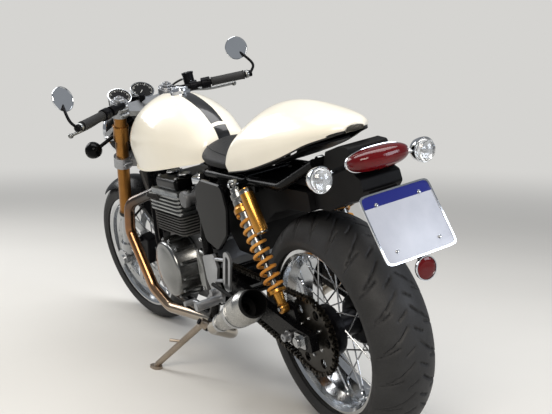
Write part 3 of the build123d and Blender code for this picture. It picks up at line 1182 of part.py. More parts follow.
front_wheel = {
    "front_tyre": tyre(FRONT_RADIUS, FRONT_HALF),
    "front_rim": rim(FRONT_HALF),
    "front_hub": wheel_hub(front_hub_profile, FRONT_FLANGE_Y, FRONT_FLANGE_R, 9.0),
    "front_discs": both(front_disc),
}
rear_wheel = {
    "rear_tyre": tyre(REAR_RADIUS, REAR_HALF),
    "rear_rim": rim(REAR_HALF),
    "rear_hub": wheel_hub(rear_hub_profile, REAR_FLANGE_Y, REAR_FLANGE_R, 14.0),
    "rear_disc": rear_disc,
    "rear_sprocket": rear_sprocket,
}
fixed = {
    "frame": frame().fuse(stand_bracket()),
    "seat_subframe": subframe(),
    "swingarm": swingarm(),
    "stand_spools": both(stand_spool()),
    "rear_axle": rear_axle(),
    "shock_bodies": both(shock_body()),
    "shock_springs": both(shock_spring()),
    "crankcase": crankcase(),
    "cylinder_block": cylinder_block(),
    "cylinder_head": cylinder_head(),
    "engine_covers": engine_covers(),
    "throttle_bodies": both(throttle_body()),
    "radiator": radiator(),
    "exhaust_headers": both(header()),
    "silencers": both(silencer()),
    "fuel_tank": fuel_tank(),
    "filler_neck": filler_neck(),
    "seat": seat(),
    "seat_base": seat_base(),
    "seat_cowl": seat_cowl(),
    "electrics_box": electrics_box(),
    "rear_mudguard": rear_mudguard(),
    "plate_holder": plate_holder(),
    "number_plate": number_plate(),
    "rear_reflector": rear_reflector(),
    "tail_light": tail_light(),
    "rear_indicators": both(indicator((-246, 152, 786), (-1, 0, 0.03), (-206, 60, 788))),
    "side_panels": both(side_panel()),
    "rearsets": both(rearset()),
    "drive_chain": chain(),
    "rear_caliper": rear_caliper(),
}
steered = {
    "top_yoke": top_yoke(),
    "bottom_yoke": bottom_yoke(),
    "fork_tubes": Part() + [fork_tube(1), fork_tube(-1)],
    "fork_sliders": Part() + [fork_slider(1), fork_slider(-1)],
    "front_axle": front_axle(),
    "front_calipers": Part() + [caliper(1), caliper(-1)],
    "clip_on_bars": Part() + [clip_on(1), clip_on(-1)],
    "grips": Part() + [grip(1), grip(-1)],
    "bar_controls": Part() + [controls(1), controls(-1)],
    "mirrors": Part() + [mirror_head(1), mirror_head(-1)],
    "headlight": headlight(),
    "front_indicators": both(indicator(tuple(SIGNAL), (1, 0, 0), (SIGNAL.X - 34, HEADLIGHT_RADIUS + 17 + CLEAR, SIGNAL.Z + 30))),
    "instruments": instruments(),
    "front_mudguard": front_mudguard(),
    "brake_hose": brake_hose(),
}
stand = {"side_stand": side_stand()}
cap = {"filler_cap": filler_cap()}

pieces = {}
for group, place in ((fixed, Location()), (steered, steer_turn), (stand, Location()), (cap, Location())):
    for name, shape in group.items():
        pieces[name] = lean_over * (place * shape)
for name, shape in front_wheel.items():
    pieces[name] = lean_over * (steer_turn * (Pos(*FRONT_AXLE) * shape))
for name, shape in rear_wheel.items():
    pieces[name] = lean_over * (Pos(*REAR_AXLE) * shape)

boxes = [shape.bounding_box() for shape in pieces.values()]
mid_x = (min(b.min.X for b in boxes) + max(b.max.X for b in boxes)) / 2
mid_y = (min(b.min.Y for b in boxes) + max(b.max.Y for b in boxes)) / 2
centring = Pos(-mid_x, -mid_y, 0)

os.makedirs("parts", exist_ok=True)
for name, shape in pieces.items():
    export_step(centring * shape, f"parts/{name}.step")
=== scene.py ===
# %% [markdown]
# # A cafe racer on its side stand
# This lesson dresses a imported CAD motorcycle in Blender. The solids already stand where they
# belong, so each step either gives a solid the finish of the real thing, or builds a finer piece
# in its place and lets it ride on the same moving body.

# %% Load the fixed frame
import json
import math

import bmesh
import bpy
from mathutils import Matrix, Vector


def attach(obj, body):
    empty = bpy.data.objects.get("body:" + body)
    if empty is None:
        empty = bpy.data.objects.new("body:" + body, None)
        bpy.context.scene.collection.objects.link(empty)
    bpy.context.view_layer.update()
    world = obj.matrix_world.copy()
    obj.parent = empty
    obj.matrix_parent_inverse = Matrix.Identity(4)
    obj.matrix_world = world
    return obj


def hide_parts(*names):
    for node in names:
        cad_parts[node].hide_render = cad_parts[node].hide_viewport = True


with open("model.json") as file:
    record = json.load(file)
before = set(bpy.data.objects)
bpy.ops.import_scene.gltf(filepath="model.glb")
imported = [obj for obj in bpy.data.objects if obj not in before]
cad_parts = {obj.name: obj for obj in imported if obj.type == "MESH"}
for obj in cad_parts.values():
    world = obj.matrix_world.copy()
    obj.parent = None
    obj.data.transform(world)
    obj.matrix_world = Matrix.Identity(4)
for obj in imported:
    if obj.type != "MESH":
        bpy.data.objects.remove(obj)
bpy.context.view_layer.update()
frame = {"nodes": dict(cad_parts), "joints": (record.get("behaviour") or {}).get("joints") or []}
nodes = frame["nodes"]

# %% [markdown]
# ## Two sets of axes
# A parked motorcycle leans and its bars are turned, which makes every coordinate awkward. The
# pieces are drawn on an upright machine instead, in millimetres: X ahead of the rear axle, Y to
# the rider's left, Z up. One matrix per group then leans it, and turns what steers. Each piece
# keeps its upright shape in its mesh, so a pattern can use the same easy axes.

# %% Upright and steered axes
MM = 0.001
AHEAD, LEFT, UP = Vector((1, 0, 0)), Vector((0, 1, 0)), Vector((0, 0, 1))
SIDES = {1: "left", -1: "right"}
LEAN, PITCH, PARKED_STEER, RAKE = (math.radians(a) for a in (11.47, 0.11, 9.2, 22.8))
WHEELBASE, TRAIL = 1415.0, 92.0
REAR_RADIUS, FRONT_RADIUS = 318.0, 300.0
REAR_AXLE, FRONT_AXLE = Vector((0, 0, REAR_RADIUS)), Vector((WHEELBASE, 0, FRONT_RADIUS))
rear_joint = next(j for j in frame["joints"] if j["name"] == "rear_wheel_spin")
tilt = Matrix.Rotation(PITCH, 4, "Y") @ Matrix.Rotation(-LEAN, 4, "X")
CHASSIS = Matrix.Translation(Vector(rear_joint["pos_m"]) - tilt @ (REAR_AXLE * MM)) @ tilt
CHASSIS_UP = tilt @ UP
STEER_UP = Vector((-math.sin(RAKE), 0, math.cos(RAKE)))
STEER_FWD = Vector((math.cos(RAKE), 0, math.sin(RAKE)))
STEER_FOOT = Vector((WHEELBASE + TRAIL, 0, 0))
foot = Matrix.Translation(STEER_FOOT * MM)
STEERING = CHASSIS @ foot @ Matrix.Rotation(PARKED_STEER, 4, STEER_UP) @ foot.inverted()
STEERED = ("steering", "front_wheel")
print("rear axle stands at", [round(v, 3) for v in CHASSIS @ (REAR_AXLE * MM)])

# %% [markdown]
# ## Camera, floor and light
# The photograph was taken by somebody standing behind the machine on its left, so the camera
# stands there too. The floor is plain and pale, and large soft lamps give long even reflections,
# which is how a studio shows painted and polished metal.

# %% Camera
CAMERA_AT = CHASSIS.translation + Vector((-1.96235, 1.39676, 0.95831))
YAW, TILT, ROLL = (math.radians(a) for a in (-29.617, -7.870, 0.358))
PHOTO_WIDTH, FOCAL_PIXELS, SENSOR = 552, 893.176, 36.0

gaze = Vector((math.cos(YAW) * math.cos(TILT), math.sin(YAW) * math.cos(TILT), math.sin(TILT)))
level = Vector((math.sin(YAW), -math.cos(YAW), 0))
above = level.cross(gaze)
right = level * math.cos(ROLL) + above * math.sin(ROLL)
up = above * math.cos(ROLL) - level * math.sin(ROLL)
camera_data = bpy.data.cameras.new("camera")
camera_data.sensor_width = SENSOR
camera_data.lens = FOCAL_PIXELS * SENSOR / PHOTO_WIDTH
camera = bpy.data.objects.new("camera", camera_data)
bpy.context.scene.collection.objects.link(camera)
camera.matrix_world = Matrix.Translation(CAMERA_AT) @ Matrix((right, up, -gaze)).transposed().to_4x4()
bpy.context.scene.camera = camera
print("camera lens", round(camera_data.lens, 2), "mm")


# %% Colours, and one function that adds a node
def colour(hex_code):
    """The linear colour of an sRGB hex value."""
    parts = [int(hex_code[i : i + 2], 16) / 255 for i in (0, 2, 4)]
    return [c / 12.92 if c <= 0.04045 else ((c + 0.055) / 1.055) ** 2.4 for c in parts] + [1.0]


def node(tree, kind, sockets=None, take=0, ramp=None, **settings):
    """Adds a node and gives the output asked for, or some; a socket takes a value or an output."""
    made = tree.nodes.new("ShaderNode" + kind)
    for key, value in settings.items():
        setattr(made, key, value)
    for key, value in (sockets or {}).items():
        if isinstance(value, bpy.types.NodeSocket):
            tree.links.new(value, made.inputs[key])
        else:
            made.inputs[key].default_value = value
    for at, hex_code in (ramp or {}).items():
        stops = made.color_ramp.elements
        stop = stops[0] if at == 0 else stops[-1] if at == 1 else stops.new(at)
        stop.color = colour(hex_code)
    if isinstance(take, tuple):
        return [made.outputs[key] for key in take]
    return made.outputs[take] if len(made.outputs) else made


COLOURS = {"take": 2, "data_type": "RGBA"}


def new_material(name):
    """An empty material, its tree, and the piece's own coordinates."""
    material = bpy.data.materials.new(name)
    material.use_nodes = True
    tree = material.node_tree
    tree.nodes.clear()
    return material, tree, node(tree, "TexCoord", take="Object")


def finished(material, tree, sockets, height=None, relief=0.0, strength=1.0):
    """Closes a material with its shader, and with the relief that its making left, in mm."""
    if height:
        bump = {"Height": height, "Strength": strength, "Distance": relief * MM}
        sockets["Normal"] = node(tree, "Bump", bump)
    node(tree, "OutputMaterial", {"Surface": node(tree, "BsdfPrincipled", sockets)})
    return material


# %% Floor, backdrop and lamps
BACKDROP = "d5d4d1"
REACH = 40.0


def studio_floor():
    """Painted concrete that fades into the backdrop's own tone where the floor is far away."""
    material, tree, place = new_material("painted_concrete")
    grain = node(tree, "TexNoise", {"Scale": 60.0, "Detail": 6.0})
    tone = node(tree, "ValToRGB", {"Fac": grain}, ramp={0: "c9c7c2", 1: "d6d4cf"})
    near = node(tree, "BsdfPrincipled", {"Base Color": tone, "Roughness": 0.85})
    away = node(tree, "VectorMath", {0: place}, take="Value", operation="LENGTH")
    share = node(tree, "MapRange", {"Value": away, "From Min": 2.2, "From Max": 8.0},
                 interpolation_type="SMOOTHSTEP")
    far = node(tree, "Emission", {"Color": colour(BACKDROP)})
    both = node(tree, "MixShader", {0: share, 1: near, 2: far})
    node(tree, "OutputMaterial", {"Surface": both})
    return material


mesh = bpy.data.meshes.new("studio_floor")
corners = [(-REACH, -REACH, 0), (REACH, -REACH, 0), (REACH, REACH, 0), (-REACH, REACH, 0)]
mesh.from_pydata(corners, [], [(0, 1, 2, 3)])
mesh.materials.append(studio_floor())
floor = bpy.data.objects.new("studio_floor", mesh)
bpy.context.scene.collection.objects.link(floor)

world = bpy.data.worlds.new("studio")
world.use_nodes = True
bpy.context.scene.world = world
sky = world.node_tree
sky.nodes.clear()
straight, through = node(sky, "LightPath", take=("Is Camera Ray", "Is Transmission Ray"))
shown = node(sky, "Math", {0: straight, 1: through}, operation="MAXIMUM")
ambient = node(sky, "Background", {"Color": colour("e8ecf2"), "Strength": 0.32})
backdrop = node(sky, "Background", {"Color": colour(BACKDROP), "Strength": 1.0})
node(sky, "OutputWorld", {"Surface": node(sky, "MixShader", {0: shown, 1: ambient, 2: backdrop})})

# Each row is a softbox: its place, what it faces, its size in metres, its watts and its tint
for name, place, facing, size, watts, tint in (
        ("key_softbox", (-3.4, 2.6, 3.2), (0, 0, 0.5), (2.6, 2.0), 160, "fff6ea"),
        ("overhead_softbox", (0.2, -0.2, 3.6), (0, 0, 0.4), (4.2, 1.6), 95, "ffffff"),
        ("rear_softbox", (-3.6, -2.4, 2.2), (-0.4, 0, 0.5), (1.8, 1.8), 70, "eef4ff"),
        ("front_softbox", (3.4, 1.4, 2.4), (0.4, 0, 0.5), (2.0, 2.0), 70, "ffffff")):
    data = bpy.data.lights.new(name, "AREA")
    data.shape = "RECTANGLE"
    data.size, data.size_y = size
    data.energy = watts
    data.color = colour(tint)[:3]
    lamp = bpy.data.objects.new(name, data)
    lamp.location = place
    lamp.rotation_mode = "QUATERNION"
    lamp.rotation_quaternion = (Vector(facing) - Vector(place)).to_track_quat("-Z", "Y")
    bpy.context.scene.collection.objects.link(lamp)
bpy.context.scene.view_settings.view_transform = "Standard"


# %% [markdown]
# ## Finishes
# A real surface is never one number. Each finish mixes two close tones over patches as wide as a
# hand, varies its gloss with them, and carries the fine grain that its making left: orange peel
# in paint, sand in a casting, brush lines in steel. Sizes are real millimetres.

# %% One recipe for coated, cast and brushed surfaces
def surface(name, dark, light, roughness, metallic=0.0, grain=3.0, relief=0.05, stretch=(1, 1, 1),
            patch=90.0, spread=0.08, worn=None, painted_above=None, **shader):
    """Two tones in patches, a grain in mm, and on request rubbed edges or black above a height."""
    material, tree, place = new_material(name)
    along = node(tree, "Mapping", {"Vector": place, "Scale": stretch})
    patches = node(tree, "TexNoise", {"Vector": place, "Scale": 1000 / patch, "Detail": 5.0})
    fine = node(tree, "TexNoise", {"Vector": along, "Scale": 1000 / grain, "Detail": 3.0})
    both = node(tree, "Math", {0: patches, 1: fine}, operation="ADD")
    share = node(tree, "MapRange", {"Value": both, "From Min": 0.7, "From Max": 1.3})
    base = node(tree, "ValToRGB", {"Fac": share}, ramp={0: dark, 1: light})
    gloss = node(tree, "MapRange", {"Value": share, "To Min": roughness + spread / 2,
                                    "To Max": max(0.02, roughness - spread / 2)})
    if worn:
        edge = node(tree, "NewGeometry", take="Pointiness")
        rubbed = node(tree, "MapRange", {"Value": edge, "From Min": 0.53, "From Max": 0.60})
        base = node(tree, "Mix", {"Factor": rubbed, "A": base, "B": colour(worn)}, **COLOURS)
    if painted_above:
        height = node(tree, "VectorMath", {0: place, 1: CHASSIS_UP}, take="Value", operation="DOT_PRODUCT")
        line = CHASSIS.translation.dot(CHASSIS_UP) + painted_above * MM
        over = node(tree, "Math", {0: height, 1: line}, operation="GREATER_THAN")
        base = node(tree, "Mix", {"Factor": over, "A": base, "B": colour("0c0c0d")}, **COLOURS)
    sockets = {"Base Color": base, "Roughness": gloss, "Metallic": metallic, **shader}
    return finished(material, tree, sockets, fine, relief)


# %% [markdown]
# Frame, brackets and small black parts: steel with a baked powder coat has a deep black and a
# slight orange peel; moulded ABS is duller, with an even fine grain; stove enamel on the barrels
# is thin and greyer, and its fin edges are bright.

# %% Black finishes: two tones, roughness, metallic, then grain and relief in mm
PAINT = {"Coat Weight": 0.03, "Coat Roughness": 0.08, "Coat IOR": 1.5, "Specular IOR Level": 0.07}
DULL = {"Specular IOR Level": 0.09}
powder_coat = surface("powder_coated_steel", "040405", "0b0b0c", 0.26, 0.0, 5.0, 0.03, **PAINT)
moulded_abs = surface("moulded_abs", "070708", "0f0f10", 0.52, 0.0, 1.5, 0.06, **DULL)
stove_enamel = surface("stove_enamelled_barrel", "060607", "101011", 0.4, 0.0, 2.5, 0.08, worn="4c4c4b",
                       **DULL)
gloss_black = surface("gloss_black_panel", "040405", "09090a", 0.16, 0.0, 6.0, 0.02, **PAINT)
satin_black = surface("satin_black_anodised", "08080a", "131316", 0.34, 0.4, 2.0, 0.02, **DULL)
soot_black = surface("soot_black_outlet", "020202", "070707", 0.6, 0.0, 2.0, 0.1, **DULL)
wax_black = surface("black_wax_underside", "070708", "111112", 0.55, 0.0, 4.0, 0.1)
butyl_rubber = surface("moulded_rubber", "0b0b0b", "161616", 0.72, 0.0, 1.2, 0.1, IOR=1.52)
tread_rubber = surface("tyre_rubber", "0f0f10", "1c1c1d", 0.66, 0.0, 2.2, 0.14, patch=60, spread=0.16,
                       IOR=1.52)

# %% [markdown]
# Aluminium shows how it was worked: sand-cast and bead-blasted on the engine, buffed on its
# covers, drawn and polished on the rims. Steel is brushed on the silencer, ground in rings on
# the discs and plated on the small parts.

# %% Metals
CAM_COVER_FOOT = 649.0
cast_alloy = surface("blasted_cast_aluminium", "5b5c5d", "77787a", 0.5, 0.85, 1.6, 0.12)
fin_alloy = surface("machined_fin_aluminium", "747676", "989a9a", 0.34, 0.95, 1.6, 0.05,
                    painted_above=CAM_COVER_FOOT)
buffed_alloy = surface("buffed_cast_aluminium", "6f706f", "8e8f8e", 0.24, 1.0, 2.4, 0.035, (1, 1, 3),
                       spread=0.14)
arm_alloy = surface("anodised_swingarm", "8b8d90", "a7a9ac", 0.36, 0.9, 2.0, 0.03)
rim_alloy = surface("polished_rim_alloy", "b9bbbd", "d3d5d7", 0.14, 1.0, 3.0, 0.01)
hub_alloy = surface("turned_hub_alloy", "8f9193", "adafb1", 0.3, 0.95, 1.2, 0.03)
plated_steel = surface("zinc_plated_steel", "9d9fa1", "bcbec0", 0.26, 1.0, 2.0, 0.02)
chrome = surface("chrome_plate", "c9ccd0", "dfe2e6", 0.06, 1.0, 8.0, 0.004, spread=0.03)
disc_steel = surface("ground_disc_steel", "8f9192", "b3b5b6", 0.26, 1.0, 1.4, 0.02)
brushed_steel = surface("brushed_stainless", "8e8e8c", "b5b4b0", 0.3, 1.0, 1.6, 0.03, (0.12, 1, 0.6),
                        spread=0.12)
stand_steel = surface("worn_stand_steel", "8b7f72", "b3a798", 0.4, 0.9, 2.0, 0.06)
gold_anodised = surface("gold_anodised_fork", "80572a", "a27238", 0.3, 0.9, 2.0, 0.02)
gold_damper = surface("gold_anodised_damper", "9c6c2a", "c69045", 0.26, 0.95, 2.0, 0.02)
spring_enamel = surface("amber_spring_enamel", "a66a28", "c88f45", 0.3, 0.0, 2.0, 0.02, **PAINT)
# Painted shade: the sprocket steel is far darker than oiled steel is, standing in for the shadow it sits in;
# the chain rollers share it
dark_steel_painted_shade = surface("oiled_steel_painted_shade", "262421", "403d38", 0.34, 0.95, 1.4, 0.03)
chain_steel = surface("oiled_chain_steel", "2e2b26", "4d4840", 0.36, 0.9, 1.5, 0.05)

# %% Finishes of the solids that stay as they are
for material, names in (
        (powder_coat, "frame seat_subframe swingarm front_mudguard"),
        (stove_enamel, "cylinder_block radiator"),
        (moulded_abs, "seat_base electrics_box rear_mudguard plate_holder"), (gloss_black, "side_panels"),
        (arm_alloy, "stand_spools rearsets top_yoke bottom_yoke"), (cast_alloy, "crankcase throttle_bodies"),
        (plated_steel, "rear_axle fork_sliders front_axle"), (chrome, "filler_neck filler_cap"),
        (satin_black, "rear_caliper front_calipers clip_on_bars"), (fin_alloy, "cylinder_head"),
        (gold_anodised, "fork_tubes"), (rim_alloy, "front_rim rear_rim"),
        (disc_steel, "front_discs rear_disc"), (dark_steel_painted_shade, "rear_sprocket"), (stand_steel, "side_stand")):
    for name in names.split():
        for slot in nodes[name].material_slots:
            slot.material = material
print(len(bpy.data.materials), "finishes and slots so far")


# %% [markdown]
# ## Shapes in mesh code
# Most parts of a motorcycle are turned, bent from tube, cut from plate or pressed from sheet.
# One small function makes each kind of shape as points and faces, and `piece` joins any number
# of them into one object with its finish and the body that it rides on.

# %% Directions and smooth lines
def square_to(direction):
    """Two unit vectors square to a direction and to each other."""
    run = Vector(direction).normalized()
    side = run.cross(UP if abs(run.z) < 0.9 else AHEAD).normalized()
    return side, run.cross(side)


def angles(count, first=0.0):
    """Equal steps round a circle."""
    return [first + 2 * math.pi * i / count for i in range(count)]


def upright(angle, radius, y=0.0):
    """A point on a circle that faces sideways, as a wheel does."""
    return Vector((math.cos(angle) * radius, y, math.sin(angle) * radius))


def lying(angle, radius, z=0.0):
    """A point on a circle that faces up."""
    return Vector((math.cos(angle) * radius, math.sin(angle) * radius, z))


def smooth_line(points, detail=5):
    """Points on a smooth line through the given ones, which may hold any number of values."""
    points = [Vector(p) for p in points]
    ends = [points[0] * 2 - points[1]] + points + [points[-1] * 2 - points[-2]]
    line = []
    for a, b, c, d in zip(ends, ends[1:], ends[2:], ends[3:]):
        for t in [k / detail for k in range(detail)]:
            line.append(0.5 * (2 * b + (c - a) * t + (2 * a - 5 * b + 4 * c - d) * t ** 2
                               + (3 * b - a - 3 * c + d) * t ** 3))
    return line + [points[-1]]


# %% Turned, bent and pressed shapes
def skin(rings, cap=True, loop=False):
    """Faces across rings of points, with flat ends, or back to the first ring."""
    count = len(rings[0])
    points = [p for ring in rings for p in ring]
    faces = []
    for r in range(len(rings) if loop else len(rings) - 1):
        a, b = r * count, (r + 1) % len(rings) * count
        faces += [(a + i, a + (i + 1) % count, b + (i + 1) % count, b + i) for i in range(count)]
    if cap and not loop:
        faces += [tuple(range(count))[::-1], tuple(len(points) - count + i for i in range(count))]
    return points, faces


def turned(profile, at, along, steps=40, cap=True):
    """A lathe shape from (distance, radius) pairs; few steps give a nut or a socket head."""
    at, run = Vector(at), Vector(along).normalized()
    side, lift = square_to(run)
    return skin([[at + run * d + (side * math.cos(a) + lift * math.sin(a)) * max(r, 0.01)
                  for a in angles(steps)] for d, r in profile], cap=cap)


def sleeve(profile, at, along, steps=64):
    """A lathe shape that is open at both ends."""
    return turned(profile, at, along, steps, cap=False)


def bar(start, end, radius, end_radius=None, steps=20):
    """A round bar or cone between two points."""
    run = Vector(end) - Vector(start)
    return turned([(0, radius), (run.length, end_radius or radius)], start, run, steps)


def bent(points, radius, steps=12, detail=6):
    """A round bar that runs smoothly through its points, in one radius or one for each point."""
    line = smooth_line(points, detail)
    radii = radius if isinstance(radius, list) else [radius] * len(points)
    widths = [a + (b - a) * k / detail for a, b in zip(radii, radii[1:]) for k in range(detail)] + radii[-1:]
    side = square_to(line[1] - line[0])[0]
    rings = []
    for i, (p, width) in enumerate(zip(line, widths)):
        run = (line[min(i + 1, len(line) - 1)] - line[max(i - 1, 0)]).normalized()
        side = (side - run * side.dot(run)).normalized()
        lift = run.cross(side)
        rings.append([p + (side * math.cos(a) + lift * math.sin(a)) * width for a in angles(steps)])
    return skin(rings)


def oval(centre, lift, half_across, half_lift, steps, power):
    """A ring of points across the machine; a higher power makes it squarer."""
    ring = []
    for c, s in [(math.cos(a), math.sin(a)) for a in angles(steps)]:
        ring.append(centre + LEFT * math.copysign(abs(c) ** (2 / power), c) * half_across
                    + lift * math.copysign(abs(s) ** (2 / power), s) * half_lift)
    return ring


def ball(at, radius):
    """A sphere as a turned shape."""
    arc = [math.pi * k / 12 for k in range(13)]
    return turned([(-radius * math.cos(a), radius * math.sin(a)) for a in arc], at, UP, 24)


# %% Fasteners
def bolt(at, along, size, sides=6):
    """A washer and a hexagon or round head, sunk a little into what it holds."""
    return [turned([(-1, size * 0.95), (1.2, size * 0.95)], at, along, 20),
            turned([(0, size * 0.8), (size * 0.6, size * 0.8), (size * 0.72, size * 0.6)], at, along, sides)]


def socket_screw(at, along, size):
    """A socket-head screw: a round head with a recess in it."""
    return turned([(-2, size), (size * 0.85, size), (size, size * 0.86), (size, size * 0.52),
                   (size * 0.4, size * 0.5)], at, along, 24)


# %% One object from many shapes
def mirrored(shapes):
    """The shapes and their mirror images across the middle of the machine."""
    return shapes + [([Vector((p[0], -p[1], p[2])) for p in points], [f[::-1] for f in faces])
                     for points, faces in shapes]


def put_on(made, body, replaces=None):
    """Stands an object in its body's upright axes, in the place of a solid if it has one."""
    bpy.context.scene.collection.objects.link(made)
    made.matrix_world = STEERING if body in STEERED else CHASSIS
    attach(made, body)
    if replaces:
        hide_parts(replaces)
    return made


def piece(name, shapes, body, material, replaces=None, sharp=35.0):
    """Joins shapes, drawn in upright millimetres, into one object that rides on a body."""
    points, faces = [], []
    for shape_points, shape_faces in shapes:
        faces += [[len(points) + i for i in face] for face in shape_faces]
        points += [Vector(p) * MM for p in shape_points]
    mesh = bpy.data.meshes.new(name)
    mesh.from_pydata(points, [], faces)
    work = bmesh.new()
    work.from_mesh(mesh)
    bmesh.ops.recalc_face_normals(work, faces=work.faces)
    work.to_mesh(mesh)
    work.free()
    mesh.shade_smooth()
    mesh.set_sharp_from_angle(angle=math.radians(sharp))
    mesh.materials.append(material)
    print(name, "has", len(mesh.polygons), "faces")
    return put_on(bpy.data.objects.new(name, mesh), body, replaces)


# %% [markdown]
# ## Tank and seat hump
# Both are pressed and welded from thin sheet, then painted. A skin over cross sections gives the
# form: each row of a table is one section, with its half widths and heights, and smooth lines
# run through the rows. The stripe is part of the paint, so it is a pattern in the material,
# measured across the machine from its middle.

# %% White enamel with its stripe
LACQUER = {"Coat Roughness": 0.03, "Coat IOR": 1.5}
STRIPE_HALF, TICK_X, TICK_HALF = 0.0215, 0.566, 0.0055


def enamel(name, striped):
    """Cream-white enamel under clear lacquer, with a black stripe and its tick where asked."""
    material, tree, place = new_material(name)
    cloud = node(tree, "TexNoise", {"Vector": place, "Scale": 9.0, "Detail": 4.0})
    base = node(tree, "ValToRGB", {"Fac": cloud}, ramp={0: "e6e0cf", 1: "efeadc"})
    if striped:
        x, y = node(tree, "SeparateXYZ", {"Vector": place}, take=("X", "Y"))
        across = node(tree, "Math", {0: y}, operation="ABSOLUTE")
        inside = node(tree, "Math", {0: across, 1: STRIPE_HALF}, operation="LESS_THAN")
        from_tick = node(tree, "Math", {0: x, 1: TICK_X}, operation="SUBTRACT")
        near = node(tree, "Math", {0: from_tick}, operation="ABSOLUTE")
        off_tick = node(tree, "Math", {0: near, 1: TICK_HALF}, operation="GREATER_THAN")
        share = node(tree, "Math", {0: inside, 1: off_tick}, operation="MULTIPLY")
        base = node(tree, "Mix", {"Factor": share, "A": base, "B": colour("060608")}, **COLOURS)
    peel = node(tree, "TexNoise", {"Vector": place, "Scale": 160.0, "Detail": 2.0})
    sockets = {"Base Color": base, "Roughness": 0.3, "Coat Weight": 0.6, "Specular IOR Level": 0.3, **LACQUER}
    return finished(material, tree, sockets, peel, 0.03)


# %% Skins over tables of cross sections
def arch(row, detail=6):
    """The line over one section, from its left lower edge to its right one."""
    x, low, mid, shoulder, z_low, z_mid, z_shoulder, z_top = row
    left = [(low, z_low), (mid, z_mid), (shoulder, z_shoulder)]
    line = smooth_line(left + [(0, z_top)] + [(-y, z) for y, z in left[::-1]], detail)
    return [Vector((x, p[0], p[1])) for p in line]


def arches(table):
    """The lines over the table's sections, with smooth ones in between."""
    parts = [smooth_line([row[i : i + 2] for row in table]) for i in range(0, 8, 2)]
    return [arch([v for pair in step for v in pair]) for step in zip(*parts)]


def lower_edge(rings):
    """The line round the open underside of a skin."""
    return [ring[0] for ring in rings] + [ring[-1] for ring in rings[::-1]]


# %% Tank shell, its welded seam and the side recesses
TANK = [
    (534, 60, 64, 48, 758, 780, 798, 804), (546, 80, 84, 60, 750, 786, 816, 830),
    (570, 92, 97, 68, 744, 790, 832, 856), (640, 112, 118, 80, 736, 806, 872, 902),
    (760, 134, 141, 92, 720, 818, 902, 942), (880, 142, 149, 100, 706, 818, 908, 951),
    (980, 134, 143, 98, 702, 808, 892, 936), (1040, 118, 128, 88, 706, 800, 868, 904),
    (1078, 92, 104, 72, 718, 792, 846, 872), (1098, 56, 64, 46, 742, 788, 822, 838),
]
TANK_MIDDLE = 820
RECESS = Vector((655, 0, 812))


def dished(p):
    """A tank point with the shallow side recess for the rider's knee pressed in."""
    reach = ((p.x - RECESS.x) / 110) ** 2 + ((p.z - RECESS.z) / 62) ** 2
    return Vector((p.x, p.y - math.copysign(9.0 * math.exp(-reach), p.y), p.z)) if abs(p.y) > 30 else p


tank_rings = [[dished(p) for p in ring] for ring in arches(TANK)]
flange = [[p + Vector((0, 0, dz)) + Vector((p.x - TANK_MIDDLE, p.y * 4, 0)).normalized() * out
           for p in lower_edge(tank_rings)] for dz, out in ((1.5, -4), (1.5, 4), (-1.5, 4), (-1.5, -4))]
piece("tank_shell", [skin(tank_rings), skin(flange, loop=True)], "chassis",
      enamel("striped_tank_enamel", True), "fuel_tank", sharp=50)
print("tank skin of", len(tank_rings), "sections")

# %% Seat hump: a thin shell, white outside and dark inside
COWL = [
    (306, 116, 121, 98, 745, 774, 792, 800), (292, 117, 123, 98, 747, 786, 816, 828),
    (262, 117, 125, 92, 751, 804, 848, 868), (190, 115, 124, 84, 761, 826, 886, 915),
    (100, 110, 119, 77, 782, 842, 903, 934), (0, 102, 109, 69, 810, 856, 907, 935),
    (-90, 86, 92, 58, 841, 870, 904, 922), (-158, 58, 64, 43, 858, 875, 894, 904),
    (-190, 26, 30, 22, 867, 874, 881, 885),
]
WALL = 4.0
outer = arches(COWL)
inner = [[Vector((p.x, p.y * (1 - WALL / 110), p.z - WALL * (0 < i < len(ring) - 1)))
          for i, p in enumerate(ring)] for ring in outer]
hump = piece("seat_hump", [skin([a + b[::-1] for a, b in zip(outer, inner)])], "chassis",
             enamel("white_enamel", False), "seat_cowl", sharp=50)
hump.data.materials.append(wax_black)
ring_size = 2 * len(outer[0])
for face in hump.data.polygons:
    if len(face.vertices) == 4 and face.vertices[0] % ring_size >= ring_size // 2:
        face.material_index = 1
rim_line = lower_edge(outer)
piece("hump_edge_trim", [bent(rim_line[::3] + [rim_line[-1]], 2.2, detail=3)], "chassis", butyl_rubber)


# %% [markdown]
# ## Seat pad
# A short pad of foam under a stretched vinyl cover: it is crowned, its sides pull in a little
# between the corners, and a piped seam runs round its top edge. Vinyl is embossed with a leather
# grain of about a millimetre, drawn here at two so that it shows.

# %% Embossed vinyl and the pad
def embossed_vinyl():
    """Black seat vinyl: small raised cells between fine creases."""
    material, tree, place = new_material("embossed_black_vinyl")
    cells = node(tree, "TexVoronoi", {"Vector": place, "Scale": 500.0}, feature="DISTANCE_TO_EDGE")
    crease = node(tree, "MapRange", {"Value": cells, "From Max": 0.16})
    tone = node(tree, "ValToRGB", {"Fac": crease}, ramp={0: "08080a", 1: "151517"})
    sockets = {"Base Color": tone, "Roughness": 0.58, "Specular IOR Level": 0.22}
    return finished(material, tree, sockets, crease, 0.2, 0.7)


SEAT = [
    (531, 72, 76, 54, 754, 774, 796, 806), (520, 88, 93, 64, 754, 776, 801, 813),
    (490, 100, 106, 74, 754, 777, 803, 817), (440, 111, 118, 82, 754, 776, 798, 812),
    (380, 116, 122, 86, 754, 774, 792, 804), (310, 115, 121, 88, 754, 771, 788, 798),
]
SEAM_AT = 11
vinyl = embossed_vinyl()
seat_rings = arches(SEAT)
seat = piece("seat_pad", [skin(seat_rings)], "chassis", vinyl, "seat", sharp=60)
piping = [bent([ring[i] + UP * 0.6 for ring in seat_rings[1:-1:3]], 1.8, detail=3)
          for i in (SEAM_AT, -1 - SEAM_AT)]
piece("seat_piping", piping, "chassis", vinyl)

